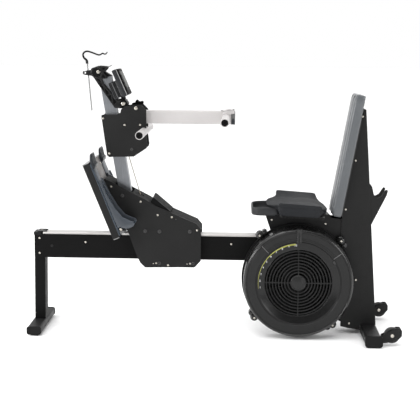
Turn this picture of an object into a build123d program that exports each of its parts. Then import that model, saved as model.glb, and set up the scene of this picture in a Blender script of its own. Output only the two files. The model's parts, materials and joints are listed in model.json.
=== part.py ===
"""Seated air-resistance strength machine: beam frame, flywheel, seat, carriage with footplates and arm.

The frame stands on Z = 0. +X runs along the beam towards the seat, +Y is the user's right-hand side,
+Z is up, and the origin is under the middle of the machine. Lengths are in millimetres.
"""

from build123d import *
import math
import os

# ------------------------------------------------------------------ driving dimensions
FRAME_END = 875            # half the overall length
BEAM_TOP, BEAM_BOTTOM, BEAM_HALF = 461, 347, 33
BEAM_START, BEAM_FINISH = -864, 700
BEAM_WALL = 3
RAIL_TOP = 470
POST_START, POST_FINISH = -864, -813
WHEEL_X, WHEEL_Z = 400, 271          # flywheel axis
CAGE_RADIUS = 257
CAGE_FRONT, CAGE_REAR = -165, -50
GRILLE_RINGS, GRILLE_FIRST, GRILLE_PITCH = 8, 49.5, 14.2
AXLE_R = 8
SIDE_IN, SIDE_OUT = 44, 48           # rear side plates, distance from the middle plane
RECLINE = 10.2                       # backrest lean in degrees
BACK_FOOT = (600, 566)               # rear bottom corner of the backrest pad
BACK_LENGTH, BACK_THICK, BACK_HALF = 590, 45, 90
CASTER_X, CASTER_Z, CASTER_R = 830, 50, 37
MAST_TILT = 9.85
MAST_FOOT = (-438.5, 736.5)          # a point on the middle line of the mast
MAST_DEPTH, MAST_HALF = 29, 22       # half sizes across the mast
PLATE_IN, PLATE_OUT = 70, 74         # carriage side plates
FOOT_TILT = 22.4
FOOT_FOOT = (-437, 478)              # bottom of the face that carries the foot beds
FOOT_IN, FOOT_OUT = 88, 190          # foot beds, distance from the middle plane
BOX_IN, BOX_OUT = 46, 50             # arm carriage plates
ARM_BOTTOM, ARM_TOP, ARM_END = 999, 1062, 87
ARM_HALF = 22
GRIP_R = 19
LOW_GRIP = (-336, 962)
HIGH_GRIP = (52, 1030)
KNOB = (-373, 1073)
PIVOT = (-435, 1093)                 # monitor tilt axis
MONITOR_TILT = 24
ROD_R = 2.5
ROLLER_R = 20.2
ROLLERS = ((-325, 490.5), (-113, 490.5))
PULLEY_R, PULLEY_Z = 20, 404
PULLEY_FRONT_X = -780
STEP_R = 36                          # large pulley of the step-up drive
RUNNING = 0.05                       # radial clearance of a turning fit
HEAD_R, HEAD_H, SHANK_R = 6, 3, 3


# ------------------------------------------------------------------ helpers
def block(x0, x1, y0, y1, z0, z1):
    """Box between two corners."""
    return Pos((x0 + x1) / 2, (y0 + y1) / 2, (z0 + z1) / 2) * Box(x1 - x0, y1 - y0, z1 - z0)


def rod_y(x, z, radius, y0, y1):
    """Round bar along Y."""
    return Pos(x, (y0 + y1) / 2, z) * Rot(90, 0, 0) * Cylinder(radius, y1 - y0)


def ring_y(x, z, outer, inner, y0, y1):
    """Round tube along Y."""
    return rod_y(x, z, outer, y0, y1) - rod_y(x, z, inner, y0 - 1, y1 + 1)


def plate(points, y0, y1, radius=0):
    """Plate with its outline in the XZ plane, from y0 to y1; radius rounds every corner."""
    if radius:
        outline = FilletPolyline(*points, radius=radius, close=True)
    else:
        outline = Polyline(*points, close=True)
    return extrude(Pos(0, y1, 0) * (Plane.XZ * make_face(outline)), amount=y1 - y0, dir=(0, -1, 0))


def rectangle(x0, x1, z0, z1):
    """Corner points of a rectangle."""
    return [(x0, z0), (x1, z0), (x1, z1), (x0, z1)]


def tube(points, inner, y0, y1, radius, wall):
    """Hollow section along Y."""
    return plate(points, y0, y1, radius) - plate(inner, y0 - 1, y1 + 1, radius - wall)


def mirrored(shape):
    """The shape and its mirror image across the middle plane."""
    return [shape, mirror(shape, about=Plane.XZ)]


def tilted(origin, degrees):
    """Maps (along, out) on a line that leans towards -X to (x, z)."""
    lean = math.radians(degrees)

    def place(along, out):
        x = origin[0] - along * math.sin(lean) + out * math.cos(lean)
        z = origin[1] + along * math.cos(lean) + out * math.sin(lean)
        return (x, z)

    return place


def screw(x, z, face, side, thickness):
    """Round-headed screw along Y: its head lies on the face, its shank fills the plate."""
    top = rod_y(x, z, HEAD_R, *sorted((face, face + side * HEAD_H)))
    top = fillet(top.faces().sort_by(Axis.Y)[-1 if side > 0 else 0].edges(), 1.6)
    return top + rod_y(x, z, SHANK_R, *sorted((face, face - side * thickness)))


def drilled(shape, places, radius=SHANK_R + 0.1):
    """The plate with a through hole along Y at each place."""
    for x, z in places:
        shape = shape - rod_y(x, z, radius, -400, 400)
    return shape


def save(name, *solids):
    """Writes one node."""
    parts = []
    for item in solids:
        parts += list(item.solids())
    export_step(parts[0] if len(parts) == 1 else Compound(children=parts), f"parts/{name}.step")


back = tilted(BACK_FOOT, -RECLINE)
mast_line = tilted(MAST_FOOT, MAST_TILT)
foot_line = tilted(FOOT_FOOT, FOOT_TILT)
monitor_line = tilted(PIVOT, MONITOR_TILT)

BEAM_SCREWS = [(-839, 441), (-839, 368), (-617, 424), (84, 425)]
REAR_SCREWS = [(666, 837), (624, 604), (680, 264), (652, 52), (694, 1045)]
BRACKET_SCREWS = [(276, 548), (531, 532)]
CARRIAGE_SCREWS = [(-488, 701), (-347, 631), (-266, 568), (-199, 559), (-79, 497), (-216, 327)]
CARRIAGE_BOLTS = [(-435, 658), (-257, 489), (-272, 336), (-111, 336)]
BOX_SCREWS = [(-529, 1023), (-499, 856), (-426, 993), (-353, 994), (-393, 877)]
BELT_PULLEYS = [(PULLEY_FRONT_X, PULLEY_Z), (WHEEL_X, PULLEY_Z)]


# ------------------------------------------------------------------ frame
def feet():
    """Cross tubes, their end caps and rubber pads."""
    front = tube(rectangle(-873, -808, 8, 44), rectangle(-870, -811, 11, 41), -168, 168, 9, 3)
    rear = tube(rectangle(706, 780, 6, 48), rectangle(709, 777, 9, 45), -262, 262, 10, 3)
    save("front_foot", front)
    save("rear_foot", rear)
    front_cap = plate(rectangle(-FRAME_END, -806, 6, 46), 168.1, 175, 12)
    front_cap += plate(rectangle(-869.5, -811.5, 11.5, 40.5), 150, 168.1, 5)
    rear_cap = plate(rectangle(702, 784, 2, 58), 262.1, 270, 17)
    rear_cap += plate(rectangle(709.5, 776.5, 9.5, 44.5), 240, 262.1, 6)
    save("foot_caps", *mirrored(front_cap), *mirrored(rear_cap))
    front_pad = block(-858, -822, 128, 167, 0, 7.9)
    rear_pad = block(722, 764, 205, 261, 0, 5.9)
    save("foot_pads", *mirrored(front_pad), *mirrored(rear_pad))


def beam():
    """Post, box beam, rail and the bumper cap at its end."""
    post = block(POST_START, POST_FINISH, -29.9, 29.9, 44.1, 455)
    post -= block(POST_START + 3, POST_FINISH - 3, -26.9, 26.9, 0, 500)
    save("front_post", drilled(post, BEAM_SCREWS[:2], 4))
    body = block(BEAM_START, BEAM_FINISH, -BEAM_HALF, BEAM_HALF, BEAM_BOTTOM, BEAM_TOP)
    body -= block(BEAM_START - 1, BEAM_FINISH + 1, -BEAM_HALF + BEAM_WALL, BEAM_HALF - BEAM_WALL,
                  BEAM_BOTTOM + BEAM_WALL, BEAM_TOP - BEAM_WALL)
    body -= block(BEAM_START - 1, POST_FINISH + 0.1, -BEAM_HALF + BEAM_WALL, BEAM_HALF - BEAM_WALL,
                  BEAM_BOTTOM - 1, BEAM_BOTTOM + 10)
    body -= block(-690, 10, -9, 9, BEAM_BOTTOM - 1, BEAM_BOTTOM + 10)
    body = drilled(body, BEAM_SCREWS)
    body = drilled(body, BELT_PULLEYS, 6 + RUNNING)
    save("main_beam", body)
    rail = block(-823, 240, -30, 30, BEAM_TOP, RAIL_TOP)
    rail -= block(-824, 241, -3, 3, RAIL_TOP - 3, RAIL_TOP + 1)
    save("beam_rail", chamfer(rail.edges().filter_by(Axis.X).group_by(Axis.Z)[-1], 1))
    cap = block(-867, -831, -35, 35, 456, RAIL_TOP) - block(-864, -830, -33.1, 33.1, 450, BEAM_TOP + 0.1)
    cap += block(-845, -808, 8, 18, RAIL_TOP, RAIL_TOP + 6)
    cap += block(-845, -808, -18, -8, RAIL_TOP, RAIL_TOP + 6)
    save("beam_end_cap", cap)


def rear_frame():
    """Two side plates, the web that joins them at the back, and the storage hooks."""
    rear_edge = [(711, 1078), (729, 812), (747, 532), (779, 48.2)]
    outline = rear_edge + [(704, 48.2), (704, 20), (646, 29), (611, 37), (604, 497), (608, 562), (700, 1078)]
    side = drilled(plate(outline, SIDE_IN, SIDE_OUT), REAR_SCREWS)
    side += block(645, 690, BEAM_HALF + 0.1, SIDE_IN, 370, 440)
    save("rear_side_plates", *mirrored(side))
    inset = [(x - 4, z) for x, z in reversed(rear_edge)]
    web = plate(rear_edge + inset, -SIDE_IN + 0.1, SIDE_IN - 0.1)
    web -= block(700, 800, 38.8, 45, 528, 740)
    web -= block(700, 800, -45, -38.8, 528, 740)
    save("rear_web", web)
    hook = plate([(708, 731), (737, 727), (747, 714), (757, 672), (773, 658), (790, 667), (812, 700),
                  (822, 696), (817, 673), (749, 534), (708, 534)], 39, 43.9, 3)
    save("storage_hooks", *mirrored(hook))


def backrest():
    """Recline pad and the board behind it."""
    pad = plate([back(0, 0), back(BACK_LENGTH, 0), back(BACK_LENGTH, -BACK_THICK), back(0, -BACK_THICK)],
                -BACK_HALF, BACK_HALF, 11)
    save("backrest_pad", pad)
    board = plate([back(8, 0.2), back(472, 0.2), back(472, 5), back(8, 5)], -76, 76)
    save("backrest_board", board)


def seat():
    """Dished seat shell, the bracket under it and the tray in front."""
    outline = [(250, -70), (301, -196), (318, -213), (480, -213), (502, -200), (534, -90),
               (534, 90), (502, 200), (480, 213), (318, 213), (301, 196), (250, 70)]
    top = extrude(Pos(0, 0, 616) * make_face(FilletPolyline(*outline, radius=14, close=True)), amount=41)
    base = block(310, 508, -205, 205, 590, 616)
    base = fillet(base.edges().group_by(Axis.Z)[0], 12)
    shell = top + base + block(316, 520, -44, 44, 576.1, 592)
    shell -= Pos(400, 0, 628 + 682) * Rot(0, 90, 0) * Cylinder(682, 600)
    save("seat_shell", shell)
    cheek_outline = [(243, 576), (290, 440), (305, 385), (345, 385), (345, 452), (460, 452), (460, 385),
                     (640, 385), (640, 554), (560, 560), (545, 576)]
    cheek = drilled(plate(cheek_outline, 40, SIDE_IN - 0.05), BRACKET_SCREWS)
    cheek += block(306, 344, BEAM_HALF + 0.1, 40, 392, 430)
    cheek += block(480, 560, BEAM_HALF + 0.1, 40, 392, 430)
    bridge = block(243, 545, -41, 41, 572, 576)
    both = mirrored(cheek)
    save("seat_bracket", both[0] + both[1] + bridge)
    plan = FilletPolyline((177, -108), (305, -108), (305, 108), (177, 108), radius=52, close=True)
    inner = FilletPolyline((181, -104), (301, -104), (301, 104), (181, 104), radius=48, close=True)
    tray = extrude(Pos(0, 0, 576.1) * make_face(plan), amount=38)
    tray -= extrude(Pos(0, 0, 581) * make_face(inner), amount=40)
    save("front_tray", tray)


def flywheel_cage():
    """Front bezel, grille, rear shell with its lugs, and the hanger that carries the axle."""
    wall = 4
    inside = CAGE_RADIUS - wall
    bezel = [(CAGE_RADIUS, -62), (CAGE_RADIUS, -155), (247, CAGE_FRONT), (194, CAGE_FRONT), (157, -155.5),
             (153, -155.5), (153, -151), (160, -151), (195, CAGE_FRONT + wall), (245, CAGE_FRONT + wall),
             (inside, -153), (inside, -62)]
    front = revolve(make_face(Polyline(*bezel, close=True)), axis=Axis.Y)
    save("cage_bezel", Pos(WHEEL_X, 0, WHEEL_Z) * front)
    grille = ring_y(0, 0, 152.8, 147, -157, -151) + rod_y(0, 0, 36, -160, -153)
    for step in range(GRILLE_RINGS - 1):
        middle = GRILLE_FIRST + GRILLE_PITCH * step
        grille += ring_y(0, 0, middle + 2.7, middle - 2.7, -157, -152)
    for turn in range(0, 360, 90):
        grille += Rot(0, turn, 0) * block(30, 149, -2, 2, -2, 2).moved(Location((0, -155, 0)))
    save("cage_grille", Pos(WHEEL_X, 0, WHEEL_Z) * grille)
    rear = rod_y(0, 0, 265, -54, CAGE_REAR) + ring_y(0, 0, 265, 257.2, -64, -54)
    rear += rod_y(0, 0, 26, -68, -54)
    for turn in (43, 131, 223, 308):
        lug = Pos(275, -60, 0) * Box(30, 20, 30)
        rear += Rot(0, -turn, 0) * lug
    rear -= rod_y(0, 0, 17.05, -66, -54)
    rear -= rod_y(0, 0, 11, -70, -40)
    for x, z, back_face in ((-142, 146, -BEAM_HALF - 0.1), (-142, 106, -BEAM_HALF - 0.1),
                            (233, -74, -SIDE_OUT - 0.1), (233, 76, -SIDE_OUT - 0.1)):
        rear += rod_y(x, z, 8, CAGE_REAR, back_face)
    save("cage_rear", Pos(WHEEL_X, 0, WHEEL_Z) * rear)
    cheek = plate([(357, 346), (437, 346), (437, 300), (425, 246), (369, 246), (357, 300)], 26, 31)
    far = cheek + rod_y(WHEEL_X, WHEEL_Z, 26, 18, 31)
    far -= rod_y(WHEEL_X, WHEEL_Z, 17.05, 20, 32)
    far -= rod_y(WHEEL_X, WHEEL_Z, 11, 10, 40)
    near = mirror(cheek, about=Plane.XZ) - rod_y(WHEEL_X, WHEEL_Z, 14, -40, -20)
    save("axle_hanger", far + near + block(357, 437, -31, 31, 342, 346.9))
    save("flywheel_bearings", ring_y(WHEEL_X, WHEEL_Z, 17, AXLE_R + RUNNING, -65.9, -54.5),
         ring_y(WHEEL_X, WHEEL_Z, 17, AXLE_R + RUNNING, 20.1, 30.5))


def flywheel():
    """Fan, axle and drum that turn together, and the damper slider on the bezel."""
    fan = rod_y(0, 0, 205, -82, -79) + rod_y(0, 0, 34, -130, -70)
    blade_count = 24
    for index in range(blade_count):
        blade = Pos(142, -109, 0) * Box(136, 56, 2.5)
        fan += Rot(0, index * 360 / blade_count, 0) * blade
    fan -= rod_y(0, 0, AXLE_R + 0.02, -140, -60)
    save("flywheel_fan", Pos(WHEEL_X, 0, WHEEL_Z) * fan)
    save("flywheel_axle", rod_y(WHEEL_X, WHEEL_Z, AXLE_R, -138, 36))
    drum = ring_y(WHEEL_X, WHEEL_Z, 20, AXLE_R + 0.02, -46, -36)
    drum += ring_y(WHEEL_X, WHEEL_Z, 24, AXLE_R + 0.02, -36, -34)
    save("drive_drum", drum)
    sector = ring_y(0, 0, 246, 198, -169, -165.3)
    left, right = math.radians(90 + 45), math.radians(90 - 54)
    far = 400
    wedge = plate([(0, 0), (far * math.cos(right), far * math.sin(right)), (0, far),
                   (far * math.cos(left), far * math.sin(left))], -180, -160)
    sector = sector & wedge
    lever = plate(rectangle(-12, 12, 190, 262), -172, -168, 3)
    lever += plate(rectangle(-9, -4, 194, 260), -178, -172)
    lever += plate(rectangle(4, 9, 194, 260), -178, -172)
    save("damper_slider", Pos(WHEEL_X, 0, WHEEL_Z) * (sector + lever))


def belt_loop(x0, z0, r0, x1, z1, r1, thick, y0, y1):
    """Closed belt round two pulleys."""
    loops = []
    for grow in (0.3 + thick, 0.3):
        circles = Pos(x0, z0) * Circle(r0 + grow) + Pos(x1, z1) * Circle(r1 + grow)
        face = make_hull(circles.edges())
        loops.append(extrude(Pos(0, y1, 0) * (Plane.XZ * face), amount=y1 - y0, dir=(0, -1, 0)))
    return loops[0] - loops[1]


def drive():
    """Belt inside the beam, its two pulleys, and the step-up belt to the flywheel drum."""
    long_belt = belt_loop(PULLEY_FRONT_X, PULLEY_Z, PULLEY_R, WHEEL_X, PULLEY_Z, PULLEY_R, 1.7, -8, 8)
    step_belt = belt_loop(WHEEL_X, PULLEY_Z, STEP_R, WHEEL_X, WHEEL_Z, 20, 1.7, -45, -37)
    save("drive_belts", long_belt, step_belt)
    front = ring_y(PULLEY_FRONT_X, PULLEY_Z, PULLEY_R, 6 + RUNNING, -9, 9)
    for side in (-1, 1):
        front += ring_y(PULLEY_FRONT_X, PULLEY_Z, 24, 6 + RUNNING, *sorted((side * 9, side * 11)))
    save("belt_pulley_front", front)
    rear = rod_y(WHEEL_X, PULLEY_Z, PULLEY_R, -9, 9) + rod_y(WHEEL_X, PULLEY_Z, 6, -46, 38)
    rear += rod_y(WHEEL_X, PULLEY_Z, 24, -11, -9) + rod_y(WHEEL_X, PULLEY_Z, 24, 9, 11)
    rear += rod_y(WHEEL_X, PULLEY_Z, STEP_R, -46, -36)
    save("belt_pulley_rear", rear)


def casters():
    """Forked brackets behind the rear foot with their wheels, and the fixed axles."""
    outline = [(780.1, 12), (780.1, 46), (812, 76), (845, 85), (866, 84), (FRAME_END, 66), (870, 43), (846, 28),
               (805, 12)]
    outer = plate(outline, 231, 235)
    inner = plate(outline, 205, 209)
    fork = outer + inner + block(780.1, 786, 205, 235, 14, 44)
    fork = drilled(fork, [(CASTER_X, CASTER_Z)], 4.1)
    save("caster_brackets", *mirrored(fork))
    axle = rod_y(CASTER_X, CASTER_Z, 4, 204, 236) + rod_y(CASTER_X, CASTER_Z, 8, 235.1, 238)
    axle += rod_y(CASTER_X, CASTER_Z, 8, 202, 204.9)
    pulley_axle = rod_y(PULLEY_FRONT_X, PULLEY_Z, 6, -36, 36)
    save("fixed_axles", *mirrored(axle), pulley_axle)
    wheel = rod_y(CASTER_X, CASTER_Z, CASTER_R, 210, 230)
    wheel = fillet(wheel.edges().filter_by(GeomType.CIRCLE), 5)
    wheel -= ring_y(CASTER_X, CASTER_Z, 26, 14, 226, 231) + ring_y(CASTER_X, CASTER_Z, 26, 14, 209, 214)
    wheel -= rod_y(CASTER_X, CASTER_Z, 4 + RUNNING, 200, 240)
    right, left = mirrored(wheel)
    save("caster_wheel_right", right)
    save("caster_wheel_left", left)


def frame_screws():
    """Button-head screws in the beam, the rear plates and the seat bracket."""
    heads = []
    for side in (-1, 1):
        heads += [screw(x, z, side * BEAM_HALF, side, BEAM_WALL) for x, z in BEAM_SCREWS]
        heads += [screw(x, z, side * SIDE_OUT, side, SIDE_OUT - SIDE_IN) for x, z in REAR_SCREWS]
        heads += [screw(x, z, side * (SIDE_IN - 0.05), side, 3.9) for x, z in BRACKET_SCREWS]
    save("frame_screws", *heads)


# ------------------------------------------------------------------ carriage
def carriage():
    """Side plates, top covers, bolts with the roller axles, belt clamp, glides and rollers."""
    outline = [(-529, 745), (-317, 638), (-281, 614), (-83, 529), (-60, 502), (-60, 350), (-88, 319),
               (-325, 314), (-348, 336), (-362, 363), (-403, 474), (-517, 722)]
    side = drilled(plate(outline, PLATE_IN, PLATE_OUT, 5), CARRIAGE_SCREWS)
    side = drilled(side, CARRIAGE_BOLTS, 5.1)
    side = drilled(side, ROLLERS, 6.1)
    save("carriage_plates", *mirrored(side))
    outlines = ([(-518, 738), (-470, 714), (-470, 710), (-518, 734)],
                [(-388, 673), (-318, 637), (-304, 628), (-304, 624), (-319, 633), (-388, 669)],
                [(-302, 626), (-288, 653), (-204, 584), (-208, 580)],
                [(-203, 579), (-87, 529), (-64, 502), (-64, 484), (-68, 484), (-68, 500), (-89, 525),
                 (-203, 575)])
    covers = [plate(line, -PLATE_IN + 0.1, PLATE_IN - 0.1) for line in outlines]
    cord_slot = block(-366, -338, -8, 8, 600, 700)
    covers[1] = covers[1] - cord_slot
    save("carriage_covers", *covers)
    bolts = []
    for side in (-1, 1):
        bolts += [screw(x, z, side * PLATE_OUT, side, PLATE_OUT - PLATE_IN) for x, z in CARRIAGE_SCREWS]
        for x, z in CARRIAGE_BOLTS:
            bolts.append(rod_y(x, z, 9, *sorted((side * PLATE_OUT, side * (PLATE_OUT + 4))))
                         + rod_y(x, z, 5, *sorted((side * PLATE_IN, side * PLATE_OUT))))
    for x, z in ROLLERS:
        axle = rod_y(x, z, 6, -PLATE_OUT, PLATE_OUT)
        for side in (-1, 1):
            axle += rod_y(x, z, 9, *sorted((side * PLATE_OUT, side * (PLATE_OUT + 4))))
        bolts.append(axle)
    save("carriage_bolts", *bolts)
    floor = block(-330, -92, -PLATE_IN + 0.1, PLATE_IN - 0.1, 316.5, 320)
    stem = block(-226, -196, -6, 6, 320, 381.5) + block(-226, -196, -12, 12, 372, 381.5)
    save("belt_clamp", floor + stem)
    glides = [block(x - 20, x + 20, -28, 28, 320.1, BEAM_BOTTOM - 0.4) for x in (-272, -111)]
    save("carriage_glides", *glides)
    for name, (x, z) in zip(("front", "rear"), ROLLERS):
        roller = rod_y(x, z, ROLLER_R, -28, 28) - ring_y(x, z, ROLLER_R + 1, 12, -8, 8)
        roller -= rod_y(x, z, 6 + RUNNING, -40, 40)
        save(f"rail_roller_{name}", roller)


def mast():
    """Leaning mast with its wedge cap."""
    low, high = -255, 488
    ends = [mast_line(low, -MAST_DEPTH), mast_line(high, -MAST_DEPTH),
            mast_line(high, MAST_DEPTH), mast_line(low, MAST_DEPTH)]
    hollow = [mast_line(low - 5, 3 - MAST_DEPTH), mast_line(high + 5, 3 - MAST_DEPTH),
              mast_line(high + 5, MAST_DEPTH - 3), mast_line(low - 5, MAST_DEPTH - 3)]
    body = plate(ends, -MAST_HALF, MAST_HALF) - plate(hollow, 3 - MAST_HALF, MAST_HALF - 3)
    for out in (-16, -5.3, 5.3, 16):
        groove = [mast_line(low - 5, out - 2), mast_line(high + 5, out - 2),
                  mast_line(high + 5, out + 2), mast_line(low - 5, out + 2)]
        body -= plate(groove, MAST_HALF - 1, MAST_HALF + 1)
        body -= plate(groove, -MAST_HALF - 1, 1 - MAST_HALF)
    save("mast", body)
    cap = plate([mast_line(high, -MAST_DEPTH), mast_line(high + 4, -MAST_DEPTH), mast_line(high + 30, -2),
                 mast_line(high + 4, MAST_DEPTH), mast_line(high, MAST_DEPTH)], -MAST_HALF, MAST_HALF)
    save("mast_cap", cap)


def footplates():
    """Folded back pan, two foot beds and two sliding heel cups."""
    low, high, back_face, face = 0, 376, -27, 5
    pan = plate([foot_line(low, back_face), foot_line(high, back_face), foot_line(high, face),
                 foot_line(low, face)], -FOOT_OUT, FOOT_OUT)
    pan -= plate([foot_line(low + 4, back_face - 1), foot_line(high - 4, back_face - 1),
                  foot_line(high - 4, face - 4), foot_line(low + 4, face - 4)], -FOOT_OUT + 4, FOOT_OUT - 4)
    pan -= block(-500, -420, -42, 42, 440, 484)
    arm = plate([foot_line(60, face), foot_line(262, face), (-500, 710), (-447, 560), (-425, 520)],
                55, PLATE_IN - 0.1)
    both = mirrored(arm)
    save("footplate_pan", pan + both[0] + both[1])
    toe = [(340, 12), (343, 20), (352, 27), (365, 21), (400, 28), (409, 25), (398, 14), (372, 5.1), (8, 5.1),
           (8, 12)]
    bed = plate([foot_line(*point) for point in toe], FOOT_IN, FOOT_OUT)
    save("foot_beds", *mirrored(bed))
    wall = [(22, 12.4), (33, 26), (30, 44), (22, 60), (26, 88), (38, 95), (55, 86), (80, 54), (133, 36),
            (207, 24), (281, 22), (284, 12.4)]
    hollow = [(40, 16), (40, 110), (300, 110), (300, 16)]
    cup = plate([foot_line(*point) for point in wall], FOOT_IN + 0.5, FOOT_OUT - 0.5)
    cup -= plate([foot_line(*point) for point in hollow], FOOT_IN + 7, FOOT_OUT - 7)
    right, left = mirrored(cup)
    save("heel_cup_right", right)
    save("heel_cup_left", left)


# ------------------------------------------------------------------ arm carriage
def arm_carriage():
    """Plates, guides, arm bar, grips, end plugs, screws, clamp knob and lift cord."""
    outline = [(-538, 1037), (-510, 847), (-501, 840), (-383, 843), (-322, 884), (-318, 896), (-324, 942),
               (-324, 1065), (-346, 1087), (-423, 1083), (-444, 1067), (-449, 1043), (-530, 1041)]
    side = drilled(plate(outline, BOX_IN, BOX_OUT, 4), BOX_SCREWS)
    side = drilled(side, [LOW_GRIP], GRIP_R + 0.1)
    side = drilled(side, [KNOB], 5 + RUNNING)
    save("arm_box_plates", *mirrored(side))
    guides = []
    for low, high in ((110, 150), (262, 298)):
        for near, far in ((-44, -MAST_DEPTH - 0.3), (MAST_DEPTH + 0.3, 44)):
            corners = [mast_line(low, near), mast_line(high, near), mast_line(high, far), mast_line(low, far)]
            guides.append(plate(corners, -BOX_IN + 0.1, BOX_IN - 0.1))
    for side in (-1, 1):
        guides.append(block(-425, -335, *sorted((side * (ARM_HALF + 0.1), side * (BOX_IN - 0.1))), 1006, 1054))
    save("arm_box_guides", *guides)
    start = -432
    bar = block(start, ARM_END, -ARM_HALF, ARM_HALF, ARM_BOTTOM, ARM_TOP)
    bar = fillet(bar.edges().filter_by(Axis.X), 4)
    bar -= block(start - 1, ARM_END + 1, 3 - ARM_HALF, ARM_HALF - 3, ARM_BOTTOM + 3, ARM_TOP - 3)
    bar -= rod_y(*HIGH_GRIP, GRIP_R + 0.1, -30, 30)
    save("arm_bar", bar)
    end_cap = block(ARM_END + 0.1, ARM_END + 9, -ARM_HALF - 1, ARM_HALF + 1, ARM_BOTTOM - 1, ARM_TOP + 1)
    low_half, high_half = 250, 335
    low = ring_y(*LOW_GRIP, GRIP_R, GRIP_R - 3, -low_half, low_half)
    high = ring_y(*HIGH_GRIP, GRIP_R, GRIP_R - 3, -high_half, high_half)
    save("grip_tubes", low, high)
    plugs = [end_cap]
    for centre, half in ((LOW_GRIP, low_half), (HIGH_GRIP, high_half)):
        plugs += mirrored(ring_y(*centre, GRIP_R - 3.1, 6, half - 20, half - 1))
    save("arm_plugs", *plugs)
    heads = []
    for side in (-1, 1):
        heads += [screw(x, z, side * BOX_OUT, side, BOX_OUT - BOX_IN) for x, z in BOX_SCREWS]
    save("arm_box_screws", *heads)
    knob = rod_y(*KNOB, 24, 54, 82)
    lobes = 7
    for index in range(lobes):
        turn = math.radians(index * 360 / lobes)
        knob += rod_y(KNOB[0] + 22 * math.cos(turn), KNOB[1] + 22 * math.sin(turn), 8, 54, 82)
    knob += rod_y(*KNOB, 5, -58, 54) + rod_y(*KNOB, 9, -57, -50.3) + rod_y(*KNOB, 12, 50.3, 54)
    save("clamp_knob", knob)
    top, foot = (-412, 839), (-353, 646)
    cord = plate([(top[0] - 2.5, top[1]), (top[0] + 2.5, top[1]), (foot[0] + 2.5, foot[1]),
                  (foot[0] - 2.5, foot[1])], -2.5, 2.5)
    save("lift_cord", cord)


def monitor():
    """Fork on the mast, the display that tilts in it, its buttons and the wire device holder."""
    cheek = plate([(-585, 1260), (-552, 1271), (-511, 1267), (-514, 1256), (-532, 1212), (-530, 1190),
                   (-494, 1149), (-466, 1112), (-452, 1112), (-424, 1110), (-416, 1092), (-426, 1073),
                   (-447, 1071), (-476, 1073), (-578, 1217), (-590, 1226), (-590, 1252)], 22.1, 34)
    cheek -= rod_y(*PIVOT, 6 + RUNNING, 0, 60)
    both = mirrored(cheek)
    bridge = block(-600, -562, -34, 34, 1225, 1253)
    lug = block(-620, -600, -9, 9, 1229, 1247)
    fork = both[0] + both[1] + bridge + lug
    rod_low, rod_high = (-590, 1059), (-611.5, 1283)
    lean = math.degrees(math.atan2(rod_low[0] - rod_high[0], rod_high[1] - rod_low[1]))
    length = math.dist(rod_low, rod_high)
    middle = ((rod_low[0] + rod_high[0]) / 2, (rod_low[1] + rod_high[1]) / 2)
    place = Pos(middle[0], 0, middle[1]) * Rot(0, -lean, 0)
    fork -= place * Cylinder(ROD_R + RUNNING, length + 40)
    save("monitor_fork", fork)
    rod = place * Cylinder(ROD_R, length)
    top = (rod_high[0] - 0.4, rod_high[1] - 3)
    hook = [top, (-613, 1296), (-628, 1307), (-633, 1324), (-623, 1336), (-609, 1340), (-557, 1321),
            (-538, 1332), (-529, 1325), (-515, 1336)]
    wire = Plane.XZ * FilletPolyline(*hook, radius=3.2)
    start = Plane(origin=wire @ 0, z_dir=wire % 0)
    dipped = sweep(start * Circle(3.4), path=wire)
    save("device_rod", rod + dipped)
    body = plate([monitor_line(*p) for p in ((27, 16), (163, 16), (163, 49), (31, 49))], -75, 75, 5)
    pack = plate([monitor_line(*p) for p in ((33, -26), (115, -25), (115, 17), (33, 17))], 35, 60, 4)
    body += pack + mirror(pack, about=Plane.XZ)
    body += plate([monitor_line(*p) for p in ((-8, -8), (60, 12), (60, 20), (-8, 9))], -18, 18)
    body += rod_y(*PIVOT, 16, -20, 20) + rod_y(*PIVOT, 6, -36, 36)
    body += rod_y(*PIVOT, 11, 34.2, 37) + rod_y(*PIVOT, 11, -37, -34.2)
    count, pitch, first = 3, 30, 62
    for index in range(count):
        middle = first + pitch * index
        slot = [monitor_line(*p) for p in ((middle - 9.2, 46), (middle + 9.2, 46), (middle + 9.2, 60),
                                           (middle - 9.2, 60))]
        body -= plate(slot, -67.2, -52.8)
        key = [monitor_line(*p) for p in ((middle - 9, 47.5), (middle + 9, 47.5), (middle + 9, 52),
                                          (middle - 9, 52))]
        save(f"monitor_button_{index + 1}", plate(key, -67, -53))
    save("monitor_housing", body)


os.makedirs("parts", exist_ok=True)
feet()
beam()
rear_frame()
backrest()
seat()
flywheel_cage()
flywheel()
drive()
casters()
frame_screws()
carriage()
mast()
footplates()
arm_carriage()
monitor()
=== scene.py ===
"""Looks of the seated air-resistance strength machine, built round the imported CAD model.

Lengths are in metres, +X runs along the beam towards the seat, -Y is the near side and +Z is up.
"""

import json
import math

import bmesh
import bpy
from mathutils import Matrix, Vector


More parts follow.
